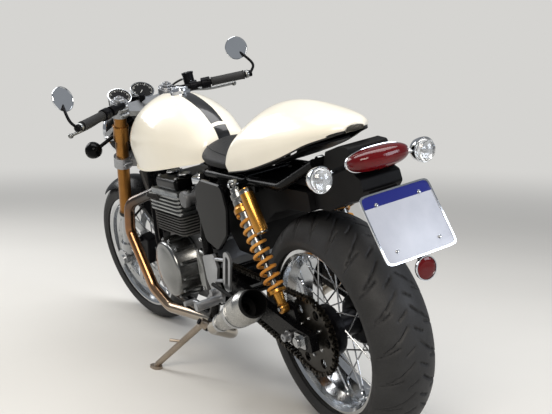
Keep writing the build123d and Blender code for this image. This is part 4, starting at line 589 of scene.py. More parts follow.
# %% [markdown]
# ## Tyres
# A road tyre's tread is a crowned band with long slanting grooves that carry water outwards.
# The mesh follows the real profile from bead to bead, and a groove is a real dent: each point
# inside one of the repeated slanting strips is moved in by the depth of the tread.

# %% Tyre profile and grooves
BEAD_RADIUS, TREAD_DEPTH, TREAD_STEPS = 234.0, 4.5, 26
PITCHES, TYRE_STEPS, GROOVE_WALL = 22, 540, 1.6


def tread_dent(angle, across):
    """How deep the tread is cut at an angle and at a share of the half width."""
    side, reach = (0.0, across) if across >= 0 else (0.5, -across)
    deepest = 0.0
    for shift, start, end, sweep, width in ((0.0, 0.10, 0.86, 0.95, 5.0), (0.42, 0.42, 0.97, 0.55, 4.0),
                                            (0.72, 0.02, 0.36, 0.60, 4.5)):
        if not start < reach < end:
            continue
        turn = angle / (2 * math.pi) * PITCHES - shift - side - sweep * reach ** 0.8
        away = abs(turn - round(turn)) * 2 * math.pi / PITCHES * FRONT_RADIUS
        ends = min(1.0, (reach - start) / 0.04, (end - reach) / 0.04)
        deepest = max(deepest, ends * max(0.0, min(1.0, (width / 2 + GROOVE_WALL - away) / GROOVE_WALL)))
    return deepest * TREAD_DEPTH


def tyre_skin(centre, radius, half):
    """A tyre from bead to bead round the Y direction, with its grooves cut in."""
    drop = 0.62 * half
    crown = (half * half + drop * drop) / (2 * drop)
    tread = []
    for share in [k / TREAD_STEPS for k in range(-TREAD_STEPS, TREAD_STEPS + 1)]:
        tread.append((half * share, radius - crown + math.sqrt(crown * crown - (half * share) ** 2), share))
    bead, edge = half * 0.78, radius - drop
    wall = [(half * 0.997, edge - 5, None), (half * 1.0, edge - 10, None)]
    wall += [(half * (0.99 - 0.012 * k), edge - 14 - (edge - 14 - BEAD_RADIUS) * k / 7, None)
             for k in range(8)]
    wall += [(bead + 3, BEAD_RADIUS + 3, None), (bead, BEAD_RADIUS, None), (bead - 2, BEAD_RADIUS - 10, None)]
    profile = [(-y, r, None) for y, r, _ in wall[::-1]] + tread + wall
    points = [centre + upright(a, r if share is None else r - tread_dent(a, share), y)
              for a in angles(TYRE_STEPS) for y, r, share in profile]
    count = len(profile)
    faces = [(s * count + i, s * count + i + 1, (s + 1) % TYRE_STEPS * count + i + 1,
              (s + 1) % TYRE_STEPS * count + i)
             for s in range(TYRE_STEPS) for i in range(count - 1)]
    return points, faces


REAR_HALF, FRONT_HALF = 92.0, 60.0
for end, centre, radius, half in (("rear", REAR_AXLE, REAR_RADIUS, REAR_HALF),
                                  ("front", FRONT_AXLE, FRONT_RADIUS, FRONT_HALF)):
    piece(end + "_tyre_tread", [tyre_skin(centre, radius, half)], end + "_wheel", tread_rubber,
          end + "_tyre", sharp=40)


# %% [markdown]
# ## Lamps, reflector and number plate
# A lamp lens is moulded acrylic: a thin tinted shell whose gloss is perfect and whose inside is
# ribbed to spread the light. An indicator is a clear dome over a bowl, which is plated at the
# rear and black at the front.

# %% Moulded lenses
def acrylic(name, tint, rib=3.0, clear=0.5, lacquer=1.0):
    """Tinted moulded acrylic whose ribs lie one rib width apart, in mm."""
    material, tree, place = new_material(name)
    ribs = node(tree, "TexWave", {"Vector": place, "Scale": 314.0 / rib / 2}, take="Fac", bands_direction="Y")
    sockets = {"Base Color": colour(tint), "Roughness": 0.06, "IOR": 1.49, "Transmission Weight": clear,
               "Specular IOR Level": 0.5 * lacquer, "Coat Weight": lacquer, **LACQUER}
    return finished(material, tree, sockets, ribs, 0.3, 0.25)


red_acrylic = acrylic("red_lamp_acrylic", "5c060b", clear=0.2, lacquer=0.3)
clear_acrylic = acrylic("clear_lamp_acrylic", "f2f4f6", rib=5.0, clear=0.92)
LAMP = Vector((-250, 0, 803))


def lamp_skin(steps):
    """Ovals of the tail lamp, each a distance behind its base, with half width and half height."""
    return [skin([oval(LAMP + Vector((-back, 0, back * 0.10)), UP, wide, high, 44, 2.5)
                  for back, wide, high in steps])]


piece("tail_lamp_base", lamp_skin([(-10, 70, 22), (0, 83, 28.5), (5, 84.5, 30), (9, 84, 29.5), (10, 80, 26)]),
      "chassis", chrome, "tail_light", sharp=30)
piece("tail_lamp_lens", lamp_skin([(9, 82, 28), (24, 82, 28), (38, 77, 26.5), (50, 66, 23), (59, 48, 17.5),
                                   (64, 26, 10), (65.5, 4, 2)]), "chassis", red_acrylic, sharp=60)


def signal(end, shell, word, body, finish, centre, facing, stalk_end):
    """A bullet indicator: its bowl on a stalk, a bulb and a clear dome."""
    at, run = Vector(centre), Vector(facing).normalized()
    bowl = turned([(-36, 8), (-32, 17), (-20, 27), (-6, 31), (2, 32), (5, 32), (6, 30), (3, 28), (-8, 22),
                   (-14, 8)], at, run)
    bulb = turned([(-14, 7), (-4, 7), (2, 5), (4, 1)], at, run, 20)
    dome = turned([(4, 29.5), (10, 28.5), (17, 24), (22, 16), (25, 7), (25.5, 1)], at, run)
    stalk = bar(at - run * 16, stalk_end, 7)
    piece(f"{end}_signal_{shell}_{word}", [bowl, stalk], body, finish, end + "_indicators")
    piece(f"{end}_signal_bulb_{word}", [bulb], body, plated_steel)
    piece(f"{end}_signal_lens_{word}", [dome], body, clear_acrylic, sharp=60)


for side, word in SIDES.items():
    signal("rear", "bowl", word, "chassis", chrome, (-246, side * 152, 786), (-1, 0, 0.03),
           (-206, side * 60, 788))

# %% Number plate and reflector
PLATE_AT, PLATE_TILT, BAND_FROM = Vector((-352, 0, 660)), math.radians(28.9), 54
PLATE_OUT = Vector((-math.cos(PLATE_TILT), 0, math.sin(PLATE_TILT)))
PLATE_RISE = Vector((math.sin(PLATE_TILT), 0, math.cos(PLATE_TILT)))


def plate_enamel():
    """Blank pressed plate: white field under a blue band, printed on reflective sheet."""
    material, tree, place = new_material("printed_number_plate")
    height = node(tree, "VectorMath", {0: place, 1: PLATE_RISE}, take="Value", operation="DOT_PRODUCT")
    line = (PLATE_AT.dot(PLATE_RISE) + BAND_FROM) * MM
    band = node(tree, "Math", {0: height, 1: line}, operation="GREATER_THAN")
    cloud = node(tree, "TexNoise", {"Vector": place, "Scale": 30.0, "Detail": 3.0})
    field = node(tree, "ValToRGB", {"Fac": cloud}, ramp={0: "9fa4b0", 1: "b0b4bf"})
    base = node(tree, "Mix", {"Factor": band, "A": field, "B": colour("101a6a")}, **COLOURS)
    cells = node(tree, "TexVoronoi", {"Vector": place, "Scale": 700.0})
    return finished(material, tree, {"Base Color": base, "Roughness": 0.3}, cells, 0.05, 0.3)


def plate_rings(steps):
    """Rounded rectangles: half width, half height and distance out of the plate's plane."""
    return [oval(PLATE_AT + PLATE_OUT * out, PLATE_RISE, wide, high, 64, 14.0) for wide, high, out in steps]


sheet = skin(plate_rings([(99, 84, -2), (100, 85, -1.6), (100, 85, -0.4), (99, 84, 0)]))
piece("blank_number_plate", [sheet], "chassis", plate_enamel(), "number_plate")
edge = skin(plate_rings([(101.5, 86.5, -2.2), (101.5, 86.5, 1.6), (97.5, 82.5, 1.6), (97.5, 82.5, 0.0)]),
            cap=False)
piece("plate_edge_frame", [edge], "chassis", chrome, sharp=30)
for side, word in SIDES.items():
    for row, height in (("top", 58), ("low", -58)):
        at = PLATE_AT + PLATE_RISE * height + LEFT * side * 62
        piece(f"plate_screw_{word[0]}_{row}", bolt(at, PLATE_OUT, 5.0, 12), "chassis", plated_steel)
REFLECTOR, REFLECTOR_OUT = Vector((-389, 0, 554)), (-1, 0, 0.02)
bezel = turned([(-6, 22), (0, 28), (6, 29.5), (9, 29.5), (9, 27), (4, 26)], REFLECTOR, REFLECTOR_OUT, 44)
piece("reflector_bezel", [bezel], "chassis", chrome)
lens = turned([(3, 26.5), (7, 26.5), (8.5, 25), (9.5, 16), (9.8, 1)], REFLECTOR, REFLECTOR_OUT, 44)
piece("red_reflector", [lens], "chassis", red_acrylic, "rear_reflector", sharp=60)


# %% [markdown]
# ## Engine covers
# The round covers are cast, turned and buffed: a flat joint face, a drafted wall, a rolled edge
# and a shallow dome. Their screws stand on bosses round the wall.

# %% Covers and their screws
def domed(radius, depth, crown):
    """The profile of a round cover, from the joint face to the middle of its dome."""
    edge, rise = radius - 15, crown - 10
    arc = (edge ** 2 + rise ** 2) / (2 * rise)
    wall = [(0, radius + 6.6), (6.4, radius + 6.6), (7, radius + 6), (7.4, radius + 1), (9, radius),
            (depth - crown, radius - 4)]
    roll = [(depth - crown + 10 * math.sin(a), radius - 15 + 11 * math.cos(a))
            for a in [math.pi / 2 * k / 6 for k in range(1, 7)]]
    face = [(depth - arc + math.sqrt(arc ** 2 - (edge * k / 8) ** 2), edge * k / 8) for k in range(7, -1, -1)]
    return wall + roll + face


COVER_FACE, COVER_SCREW = 90.3, 4.2
covers, screws = [], []
for at, facing, radius, depth, crown, count, first, boss in (
        ((796, COVER_FACE, 377), LEFT, 100, 104.7, 26, 12, 12, 70.7),
        ((690, -COVER_FACE, 381), -LEFT, 94, 67.7, 24, 9, 8, 14.7),
        ((846, -COVER_FACE, 381), -LEFT, 52, 45.7, 18, 0, 0, 0)):
    covers.append(turned(domed(radius, depth, crown), at, facing, 128))
    for a in angles(count, math.radians(first)):
        foot = Vector(at) + upright(a, radius + 1)
        covers.append(turned([(0, 6.5), (boss - 0.8, 6.5), (boss, 5.7)], foot, facing, 24))
        screws.append(socket_screw(foot + facing * (boss - 0.5), facing, COVER_SCREW))
outline = smooth_line([(544, 360), (544, 440), (562, 464), (606, 467), (622, 446), (625, 352), (600, 332),
                       (562, 335), (546, 352)], 3)
covers.append(skin([[(585 + (x - 585) * s, y, 400 + (z - 400) * s) for x, z in outline]
                    for y, s in ((122, 1), (133, 0.995), (136, 0.95), (136.2, 0.9), (135, 0.87),
                                 (135, 0.02))]))
for x, z in ((600, 463), (606, 336), (556, 350), (556, 448)):
    covers.append(turned([(0, 7), (47, 7)], (x, COVER_FACE, z), LEFT, 24))
    screws.append(socket_screw((x, 135.4, z), LEFT, COVER_SCREW))
piece("engine_cover_castings", covers, "chassis", buffed_alloy, "engine_covers", sharp=40)
piece("engine_cover_screws", screws, "chassis", plated_steel)

# %% [markdown]
# ## Head, barrels and intakes
# The fins are in the CAD already. What is missing is small and hard: head nuts, plug caps, the
# polished tops of the intakes and the screws of their side covers.

# %% Head nuts, plug caps and intake details
HEAD_TOP, CYLINDER_Y, THROTTLE_X = 688.0, 78, 607.7
FOUR_SCREWS = (0.8, 2.36, 3.93, 5.5)
nuts, rubber_parts, bright, satin = [], [], [], []
for y in (-120, -40, 40, 120):
    for x in (704, 842):
        nuts += bolt((x, y, HEAD_TOP), UP, 6.5)
for side in SIDES:
    for x in (724, 822):
        at = Vector((x, side * CYLINDER_Y, HEAD_TOP + 6))
        bright.append(turned([(0, 22), (3, 22), (4, 21), (4, 17), (2.6, 16.5)], at, UP))
        nuts += [socket_screw(at + lying(a, 19, 3), UP, 2.6) for a in (0.5, 2.6, 4.7)]
    rubber_parts.append(turned([(0, 9), (8, 10), (12, 10), (13, 8), (30, 8), (34, 7), (44, 6)],
                               (812, side * 150, 622), (0.1, side, 0.5), 24))
    bell = (THROTTLE_X, side * CYLINDER_Y, 630)
    bright.append(turned([(10, 20.6), (44, 20.6), (47, 23), (49, 27.6), (62, 27.4), (68, 25), (70.5, 20),
                          (71, 12), (74, 11), (75, 9), (75, 1)], bell, UP, 48))
    disc, facing = Vector((THROTTLE_X, side * 136, 636)), LEFT * side
    satin.append(turned([(0, 27.4), (10, 27.4), (12, 26.5), (13, 24), (13, 20), (14.2, 19), (14.6, 8),
                         (14.6, 1)], disc, facing, 48))
    nuts += [socket_screw(disc + upright(a, 22.5) + facing * 12, facing, 2.4) for a in FOUR_SCREWS]
    clamp = Vector((637, side * CYLINDER_Y, 628))
    bright.append(sleeve([(0, 28), (0, 31.8), (9, 31.8), (9, 28)], clamp, AHEAD, 48))
    nuts.append(turned([(-9, 3), (9, 3)], clamp + Vector((4.5, side * 10, 33)), LEFT, 16))
    port = Vector((910.3, side * CYLINDER_Y, 614))
    bright.append(sleeve([(0.4, 20), (0.4, 30.6), (9, 30.6), (10.6, 29), (11, 20)], port, AHEAD, 56))
    nuts += [part for z in (-21, 21) for part in bolt(port + Vector((11, 0, z * 1.15)), AHEAD, 4.6)]
piece("head_nuts_and_screws", nuts, "chassis", plated_steel)
piece("spark_plug_caps", rubber_parts, "chassis", butyl_rubber)
piece("polished_intake_tops", bright, "chassis", chrome, sharp=40)
piece("intake_side_covers", satin, "chassis", cast_alloy, sharp=40)

# %% [markdown]
# ## Tint on the exhaust
# The header's tone is a function of the distance to the port: bright chrome close to it, then grey
# and bronze bands further down the pipe. These bands are painted reflection of warm lamp light.

# %% Headers with painted lamp reflection
# Painted reflection: the grey and bronze stops stand in for warm lamp light seen along the pipes
LAMP_REFLECTION_TINTS = {0: "cfd0d2", 1: "a9a297", 0.12: "a3a3a4", 0.20: "5b5a59", 0.36: "56504c", 0.52: "7d5d45",
              0.72: "a5764e", 0.86: "a08a74"}


def chrome_with_painted_reflection(ports):
    """Chrome whose tint, a painted reflection of warm lamp light, changes with the distance to the nearer
    exhaust port.
    """
    material, tree, place = new_material("chrome_with_painted_lamp_reflection")
    gaps = [node(tree, "VectorMath", {0: place, 1: port}, take="Value", operation="DISTANCE")
            for port in ports]
    near = node(tree, "Math", {0: gaps[0], 1: gaps[1]}, operation="MINIMUM")
    cloud = node(tree, "TexNoise", {"Vector": place, "Scale": 22.0, "Detail": 4.0})
    drift = node(tree, "Math", {0: cloud, 1: 0.09, 2: near}, operation="MULTIPLY_ADD")
    share = node(tree, "MapRange", {"Value": drift, "From Min": 0.05, "From Max": 0.50})
    tone = node(tree, "ValToRGB", {"Fac": share}, ramp=LAMP_REFLECTION_TINTS)
    fine = node(tree, "TexNoise", {"Vector": place, "Scale": 300.0, "Detail": 3.0})
    rough = node(tree, "MapRange", {"Value": fine, "To Min": 0.12, "To Max": 0.26})
    return finished(material, tree, {"Base Color": tone, "Metallic": 1.0, "Roughness": rough})


# The headers get chrome with painted lamp reflection
header_finish = chrome_with_painted_reflection([CHASSIS @ (Vector((910, side * CYLINDER_Y, 614)) * MM) for side in SIDES])
for slot in nodes["exhaust_headers"].material_slots:
    slot.material = header_finish

# %% Silencers
SILENCER_IN, SILENCER_OUT = Vector((362, 206, 300)), Vector((108, 206, 422))
SILENCER_RUN = (SILENCER_OUT - SILENCER_IN).normalized()
LENGTH = (SILENCER_OUT - SILENCER_IN).length


def on_silencer(profile, steps=96):
    """A sleeve from (distance from the silencer's inlet, radius) pairs."""
    return sleeve(profile, SILENCER_IN, SILENCER_RUN, steps)


shell = on_silencer([(0, 19.9), (0, 25), (26, 25), (30, 26), (34, 27.5), (60, 31), (120, 38.5), (176, 45.6),
                     (200, 47.4), (222, 48), (232, 47.8), (236, 47), (238, 46), (LENGTH - 16, 41.4),
                     (LENGTH - 13, 40.6), (LENGTH - 13, 36)])
seams = [on_silencer([(d - 1.6, r - 0.6), (d - 0.8, r + 0.9), (d + 0.8, r + 0.9), (d + 1.6, r - 0.4)])
         for d, r in ((32, 26.8), (178, 45.8))]
clamp = on_silencer([(4, 25), (4, 28), (20, 28), (20, 25)], 64)
strap = on_silencer([(139, 40.6), (139, 43.6), (161, 46), (161, 43)])
mouth = on_silencer([(LENGTH + d, r) for d, r in (
    (-14, 36), (-14, 40.4), (-3, 39.2), (0, 38), (0, 35.6), (-3, 35), (-78, 35), (-80, 24), (-80, 16),
    (-66, 15.4), (-66, 13), (-95, 13), (-96, 0.1))])
hanger = bar(SILENCER_IN + SILENCER_RUN * 150 + Vector((0, -20, 20)), (452, 169, 392), 6)
clamp_bolt = bolt(SILENCER_IN + SILENCER_RUN * 12 + LEFT * 27, LEFT, 4)
piece("silencer_shells", mirrored([shell] + seams), "chassis", brushed_steel, "silencers",
      sharp=40)
piece("silencer_outlets", mirrored([mouth, hanger]), "chassis", soot_black, sharp=40)
piece("silencer_clamps", mirrored([clamp, strap] + clamp_bolt), "chassis", plated_steel)

# %% [markdown]
# ## Shock absorbers
# The damper is turned and polished, its reservoir and adjusters are anodised gold, and the
# spring is one long bar wound into nine turns between its two collars.

# %% Damper, reservoir and coil spring
SHOCK_TOP, SHOCK_LOW = Vector((229, 144, 724)), Vector((62, 144, 398))
SHOCK_RUN = (SHOCK_LOW - SHOCK_TOP).normalized()
STROKE = (SHOCK_LOW - SHOCK_TOP).length
BACKWARDS = Vector((SHOCK_RUN.z, 0, -SHOCK_RUN.x))
COIL_TURNS, COIL_STEPS, COIL_RADIUS = 9, 12, 22.5


def eye(at, bore):
    """A damper's end eye, bored for its bolt."""
    profile = [(-11, bore), (-11, 14), (-9.5, 15), (9.5, 15), (11, 14), (11, bore), (-11, bore)]
    return sleeve(profile, at, LEFT, 40)


def on_shock(profile, steps, back=0):
    """A turned shape beside the damper's middle line."""
    return turned(profile, SHOCK_TOP + BACKWARDS * back, SHOCK_RUN, steps)


neck = SHOCK_TOP + SHOCK_RUN * 50
damper = [
    eye(SHOCK_TOP, 7.8), on_shock([(196, 8), (STROKE - 12, 8)], 32),
    bar(neck, neck + BACKWARDS * 50, 13.5, steps=40),
    on_shock([(11, 15), (14, 17), (24, 17), (27, 21.5), (40, 22), (42, 20.5), (45, 20.5), (47, 22), (60, 22),
              (62, 20), (200, 16.5)], 48),
    on_shock([(33.6, 9), (33.6, 15.2), (43, 19.3), (47, 19.4), (47, 18)], 64, 53),
    on_shock([(160, 15.6), (164.4, 15.4), (165, 12), (162, 6)], 40, 53),
]
golden = [
    on_shock([(66, 17), (66, 24), (70, 27), (71, 28), (83.5, 28), (83.5, 17)], 64),
    on_shock([(62, 16), (62, 23.5), (65.6, 23.5), (65.6, 16)], 18),
    on_shock([(314.4, 8), (314.4, 27), (322, 27), (324, 25), (325, 16), (STROKE - 20, 13.5),
              (STROKE - 10, 12)], 64),
    eye(SHOCK_LOW, 7.3),
    on_shock([(34, 15), (34, 16), (40, 16), (42, 18.4), (46, 19), (152, 19), (155, 18.2), (158, 18.2),
              (158, 16), (164, 15), (164, 8), (161, 7.5)], 64, 53),
]
lift = SHOCK_RUN.cross(LEFT)
coil = []
for k in range(COIL_TURNS * COIL_STEPS + 1):
    a = 2 * math.pi * k / COIL_STEPS
    middle = SHOCK_TOP + SHOCK_RUN * (88.5 + 221 * k / (COIL_TURNS * COIL_STEPS))
    coil.append(middle + (LEFT * math.cos(a) + lift * math.sin(a)) * COIL_RADIUS)
spring = bent(coil, 4.5, detail=3)
piece("shock_dampers", mirrored(damper), "chassis", buffed_alloy, "shock_bodies")
piece("shock_gold_parts", mirrored(golden), "chassis", gold_damper)
piece("shock_coil_springs", mirrored([spring]), "chassis", spring_enamel, "shock_springs")
fixings = []
for x, y, z, size in ((229, 155.2, 724, 8.5), (62, 155.2, 398, 8.0), (470, 152, 400, 9), (522, 151, 330, 7),
                      (522, 151, 520, 7), (926, 118, 410, 7)):
    fixings += bolt((x, y, z), LEFT, size)
piece("chassis_bolts", mirrored(fixings), "chassis", plated_steel, sharp=30)

# %% [markdown]
# ## Fork, bars and controls
# From here to the dials everything turns with the handlebar, so it rides on the steering body,
# as the brake hose does at the end. Castings are black; what a spanner touches is bright.

# %% Places on the fork and the bars
FORK_OFFSET, FORK_SPREAD, BAR_BORE = 31.443, 103.0, 11.4
FORK_TOP, TOP_YOKE, EAR_CLAMP, LOW_YOKE, DUST_SEAL = 930, 880, 814, 686, 492
LEVER_AHEAD = Vector((0.86, 0, -0.25)).normalized()
BAR_IN, BAR_END = Vector((1110, 113, 926)), Vector((980, 348, 918))
GRIP_LENGTH = (BAR_END - BAR_IN).length * 0.465


def steer_point(forward, y, height):
    """A point by its place ahead of the steering axis, its side and its distance up that axis."""
    return STEER_FOOT + STEER_FWD * forward + STEER_UP * height + LEFT * y


def on_fork(height, side):
    """A point on a fork leg's middle line; side 0 gives the line between them."""
    return steer_point(FORK_OFFSET, side * FORK_SPREAD, height / math.cos(RAKE))


def bar_point(share, side):
    """A point on the handlebar, by its share of the way out."""
    p = BAR_IN.lerp(BAR_END, share)
    return Vector((p.x, side * p.y, p.z))


def out_along_bar(side):
    """The handlebar's direction on one side."""
    return (bar_point(1, side) - bar_point(0, side)).normalized()


# %% Fork caps, seals, grips and levers
caps, seals, castings, levers, ribbed, fixings = [], [], [], [], [], []
for side in SIDES:
    outward = LEFT * side
    top, clamp_at = on_fork(FORK_TOP, side), on_fork(TOP_YOKE, side) + STEER_UP * 25.3
    caps += [turned([(-14, 23.4), (-14, 24.8), (-1.5, 24.8), (0.4, 23), (1, 17)], top, STEER_UP, 48),
             turned([(0.4, 19.8), (8.6, 19.8), (9.8, 18)], top, STEER_UP, 6),
             turned([(9, 9.6), (15, 9.6), (16, 8.4), (16, 3), (14, 2.6)], top, STEER_UP, 24),
             sleeve([(-0.4, 24.2), (-0.4, 31), (0.8, 32), (23.2, 32), (24.4, 31), (24.4, 24.2)],
                    clamp_at, STEER_UP, 56)]
    seals.append(sleeve([(-12.6, 19.4), (-12.6, 25.2), (-9, 26.6), (-4, 26.6), (-3, 25.8), (3, 25.8),
                         (6.6, 24.2), (6.6, 23.4)], on_fork(DUST_SEAL, side), STEER_UP, 48))
    for rise in (7, 17):
        lug = clamp_at + STEER_UP * rise - STEER_FWD * 34
        caps.append(turned([(-13, 6), (13, 6)], lug, LEFT, 20))
        fixings.append(socket_screw(lug + outward * 12.4, outward, 4))
    for height, radius, thick in ((TOP_YOKE, 32.5, 20), (LOW_YOKE, 33.5, 32)):
        pinch = on_fork(height, side) - STEER_FWD * (radius + 2) + STEER_UP * (thick / 2)
        fixings.append(socket_screw(pinch + outward * 14.6, outward, 5))
    run, perch, switch = out_along_bar(side), bar_point(0.27, side), bar_point(0.44, side)
    pivot, tip = perch + LEVER_AHEAD * 42, Vector((1071, side * 352, 886))
    castings += [sleeve([(-13, BAR_BORE), (-13, 17.6), (-11.6, 19), (11.6, 19), (13, 17.6), (13, BAR_BORE)],
                        perch, run, 40),
                 sleeve([(-17, BAR_BORE), (-17, 19), (-15, 21), (-1, 21), (-0.6, 20.2), (0.6, 20.2), (1, 21),
                         (15, 21), (17, 19), (17, BAR_BORE)], switch, run, 40),
                 bar(perch + LEVER_AHEAD * 10, pivot, 12, 10),
                 turned([(-10, 11), (-9, 12), (9, 12), (10, 11)], pivot, UP, 32),
                 bar(switch - LEVER_AHEAD * 18 + UP * 4, switch - LEVER_AHEAD * 25 + UP * 6, 5)]
    elbow = bar_point(0.62, side) + LEVER_AHEAD * 74 - UP * 8
    levers += [bent([pivot, elbow, tip], [7.6, 6.2, 5.0], steps=16, detail=12), ball(tip, 9.5),
               turned([(0, 12.6), (3, 15), (10, 15), (14, 13), (14.5, 4)], bar_point(1, side), run, 32)]
    fixings += bolt(pivot + UP * 9.6, UP, 4.5)
    for shift in (-7, 7):
        fixings += bolt(perch + UP * 18 + run * shift, UP, 3)
    ribs = [(5 + (GRIP_LENGTH - 10) * k / 56, 16.4 if k % 2 else 15.3) for k in range(57)]
    collar = [(GRIP_LENGTH - 4, 17.1), (GRIP_LENGTH, 17.1), (GRIP_LENGTH, BAR_BORE)]
    ribbed.append(sleeve([(0, BAR_BORE), (0, 17.1), (4, 17.1)] + ribs + collar,
                         bar_point(0.52, side), run, 36))
pot = bar_point(0.27, -1) + LEVER_AHEAD * 26 + UP * 18
castings.append(turned([(-14, 17), (-12, 20), (31, 20), (32, 21.6), (39, 22), (40, 20.6), (40, 1)],
                       pot, UP, 48))
fixings += [socket_screw(pot + lying(a, 17, 39), UP, 2.2) for a in FOUR_SCREWS]
piece("fork_caps_and_clamps", caps, "steering", arm_alloy, sharp=30)
piece("fork_dust_seals", seals, "steering", butyl_rubber)
piece("perches_and_switches", castings, "steering", satin_black, "bar_controls", sharp=40)
piece("control_levers", levers, "steering", buffed_alloy, sharp=40)
piece("steering_screws", fixings, "steering", plated_steel)
piece("ribbed_grips", ribbed, "steering", butyl_rubber, "grips", sharp=60)

# %% [markdown]
# ## Mirrors, headlamp, dials and front indicators
# Each is a shell, a plated ring and something clear or silvered that sits a little inside it.

# %% Mirrors and front indicators
mirror_glass = surface("silvered_mirror_glass", "e4e8ec", "eef1f4", 0.03, 1.0, relief=0.0, spread=0.02)
lamp_glass = acrylic("fluted_lamp_glass", "f6f8fa", rib=16.0, clear=0.96)
for side, word in SIDES.items():
    run = out_along_bar(side)
    at, facing = Vector((1025, side * 366, 1016)), Vector((-0.93, side * -0.30, 0.18)).normalized()
    root = bar_point(1, side) + run * 14.3
    back = [turned([(-14, 1), (-13, 15), (-10.5, 27), (-6, 37.5), (0, 42), (2, 42.4)], at, facing, 64),
            turned([(0, 10), (1.5, 12), (10.5, 12), (12, 10)], root, run, 32),
            bent([root + run * 6, root + run * 14 + Vector((6, side * 14, 34)), at - facing * 10], 5,
                 steps=16)]
    rim = sleeve([(0, 42), (1.5, 43.2), (5, 43.2), (6, 42), (6, 40), (3, 39.6)], at, facing)
    glass = turned([(3.4, 40.2), (4.6, 39.8), (5.2, 20), (5.4, 1)], at, facing, 64)
    piece("mirror_back_" + word, back, "steering", satin_black, "mirrors")
    piece("mirror_rim_" + word, [rim], "steering", chrome)
    piece("mirror_glass_" + word, [glass], "steering", mirror_glass, sharp=60)
    signal("front", "shell", word, "steering", gloss_black, (1296, side * 182, 776), AHEAD,
           (1262, side * 109.3, 806))

# %% Headlamp with its ears
HEADLAMP = Vector((1322, 0, 802))
bowl = turned([(-84, 1), (-83, 16), (-80, 34), (-70, 54), (-58, 66), (-40, 77.5), (-20, 86), (0, 90),
               (19, 92), (20, 90)], HEADLAMP, AHEAD, 96)
ring = sleeve([(16, 90), (17, 93), (28, 96), (36, 96), (42, 94), (45, 89), (44, 84), (40, 83)], HEADLAMP,
              AHEAD, 96)
reflector = sleeve([(42, 84), (30, 82), (10, 72), (-12, 54), (-26, 34), (-32, 12), (-32, 1)],
                   HEADLAMP, AHEAD, 72)
lamp_bulb = turned([(-32, 9), (-12, 9), (-10, 6), (6, 6), (10, 4), (11, 1)], HEADLAMP, AHEAD, 24)
lens = turned([(41, 84), (46, 83.5), (50, 78), (58, 58), (62, 34), (63.6, 14), (64, 1)], HEADLAMP, AHEAD, 96)
ears, ear_bolts, clamps = [], [], []
for side in SIDES:
    hold = on_fork(EAR_CLAMP, side)
    sheet = [(1328, 788), (1328, 816), (hold.x + 20, hold.z + 30), (hold.x + 20, hold.z - 34)]
    window = [(1298, 800), (1298, 804), (hold.x + 34, hold.z + 14), (hold.x + 34, hold.z - 20)]
    rings = [[Vector((x, side * y, z)) for x, z in line]
             for line, y in ((sheet, 100), (sheet, 106), (window, 106), (window, 100))]
    ears += [skin(rings, loop=True), bar((1312, side * 84, 802), (1312, side * 101, 802), 10)]
    clamps.append(sleeve([(-34, 23.9), (-34, 27.8), (-33, 28.6), (25, 28.6), (26, 27.8), (26, 23.9)],
                         hold, STEER_UP, 56))
    ear_bolts += bolt((1312, side * 105.6, 802), LEFT * side, 8) + [ball((1312, side * 111, 802), 5.5)]
piece("headlamp_shell", [bowl], "steering", gloss_black, "headlight")
piece("headlamp_ears", ears, "steering", arm_alloy, sharp=30)
piece("headlamp_clamps", clamps, "steering", gold_anodised, sharp=30)
piece("headlamp_ring_and_nuts", [ring] + ear_bolts, "steering", chrome)
piece("headlamp_reflector", [reflector, lamp_bulb], "steering", chrome, sharp=60)
piece("headlamp_lens", [lens], "steering", lamp_glass, sharp=60)

# %% Dials
FACING, DIAL_UP = Vector((-0.62, 0, 0.78)).normalized(), Vector((0.78, 0, 0.62)).normalized()
MARKS, LONG_EVERY, FIRST_MARK = 24, 4, -135
stem = steer_point(40, 0, TOP_YOKE / math.cos(RAKE) + 20.3)
cups = [bar((1236, -50, 922), (1236, 50, 922), 10), bar(stem, stem + STEER_UP * 28, 12),
        bar(stem + STEER_UP * 20, (1236, 0, 925), 7)]
bezels, marks, faces = [], [], []
for side in SIDES:
    at = Vector((1234, side * 50, 946))
    cups.append(turned([(-46, 1), (-46, 33), (-43, 36), (-8, 43), (-7, 40)], at, FACING, 64))
    bezels.append(sleeve([(-8, 42), (-6, 45), (-1, 45.2), (0.8, 44), (0.8, 41.5), (-3, 40.6)], at, FACING))
    faces.append(turned([(-4, 41), (-3.6, 41), (-3.6, 1)], at, FACING, 64))
    printed, needle = at + FACING * -3.4, at + FACING * -2.6
    for k in range(MARKS + 1):
        a = math.radians(FIRST_MARK - 2 * FIRST_MARK / MARKS * k)
        spoke = DIAL_UP * math.cos(a) + LEFT * math.sin(a)
        inside, width = (34, 0.5) if k % LONG_EVERY else (30, 0.9)
        marks.append(bar(printed + spoke * inside, printed + spoke * 38, width, steps=6))
    marks.append(bar(needle, needle + (LEFT * 0.8 - DIAL_UP * 0.6) * 30, 1.1, 0.4, 8))
piece("dial_cups", cups, "steering", satin_black, "instruments", sharp=40)
piece("dial_bezels", bezels, "steering", chrome)
piece("dial_faces", faces, "steering", moulded_abs)
piece("dial_marks", marks, "steering", surface("dial_ink", "dcdcd6", "ebebe6", 0.5))

# %% [markdown]
# ## Wheels and chain
# The spokes cross each other on their way from the hub flanges to the rim, so a wheel is drawn by
# a loop over the two sides. The chain is a loop too: its links are laid at equal steps along two
# arcs and the two straight runs between them.

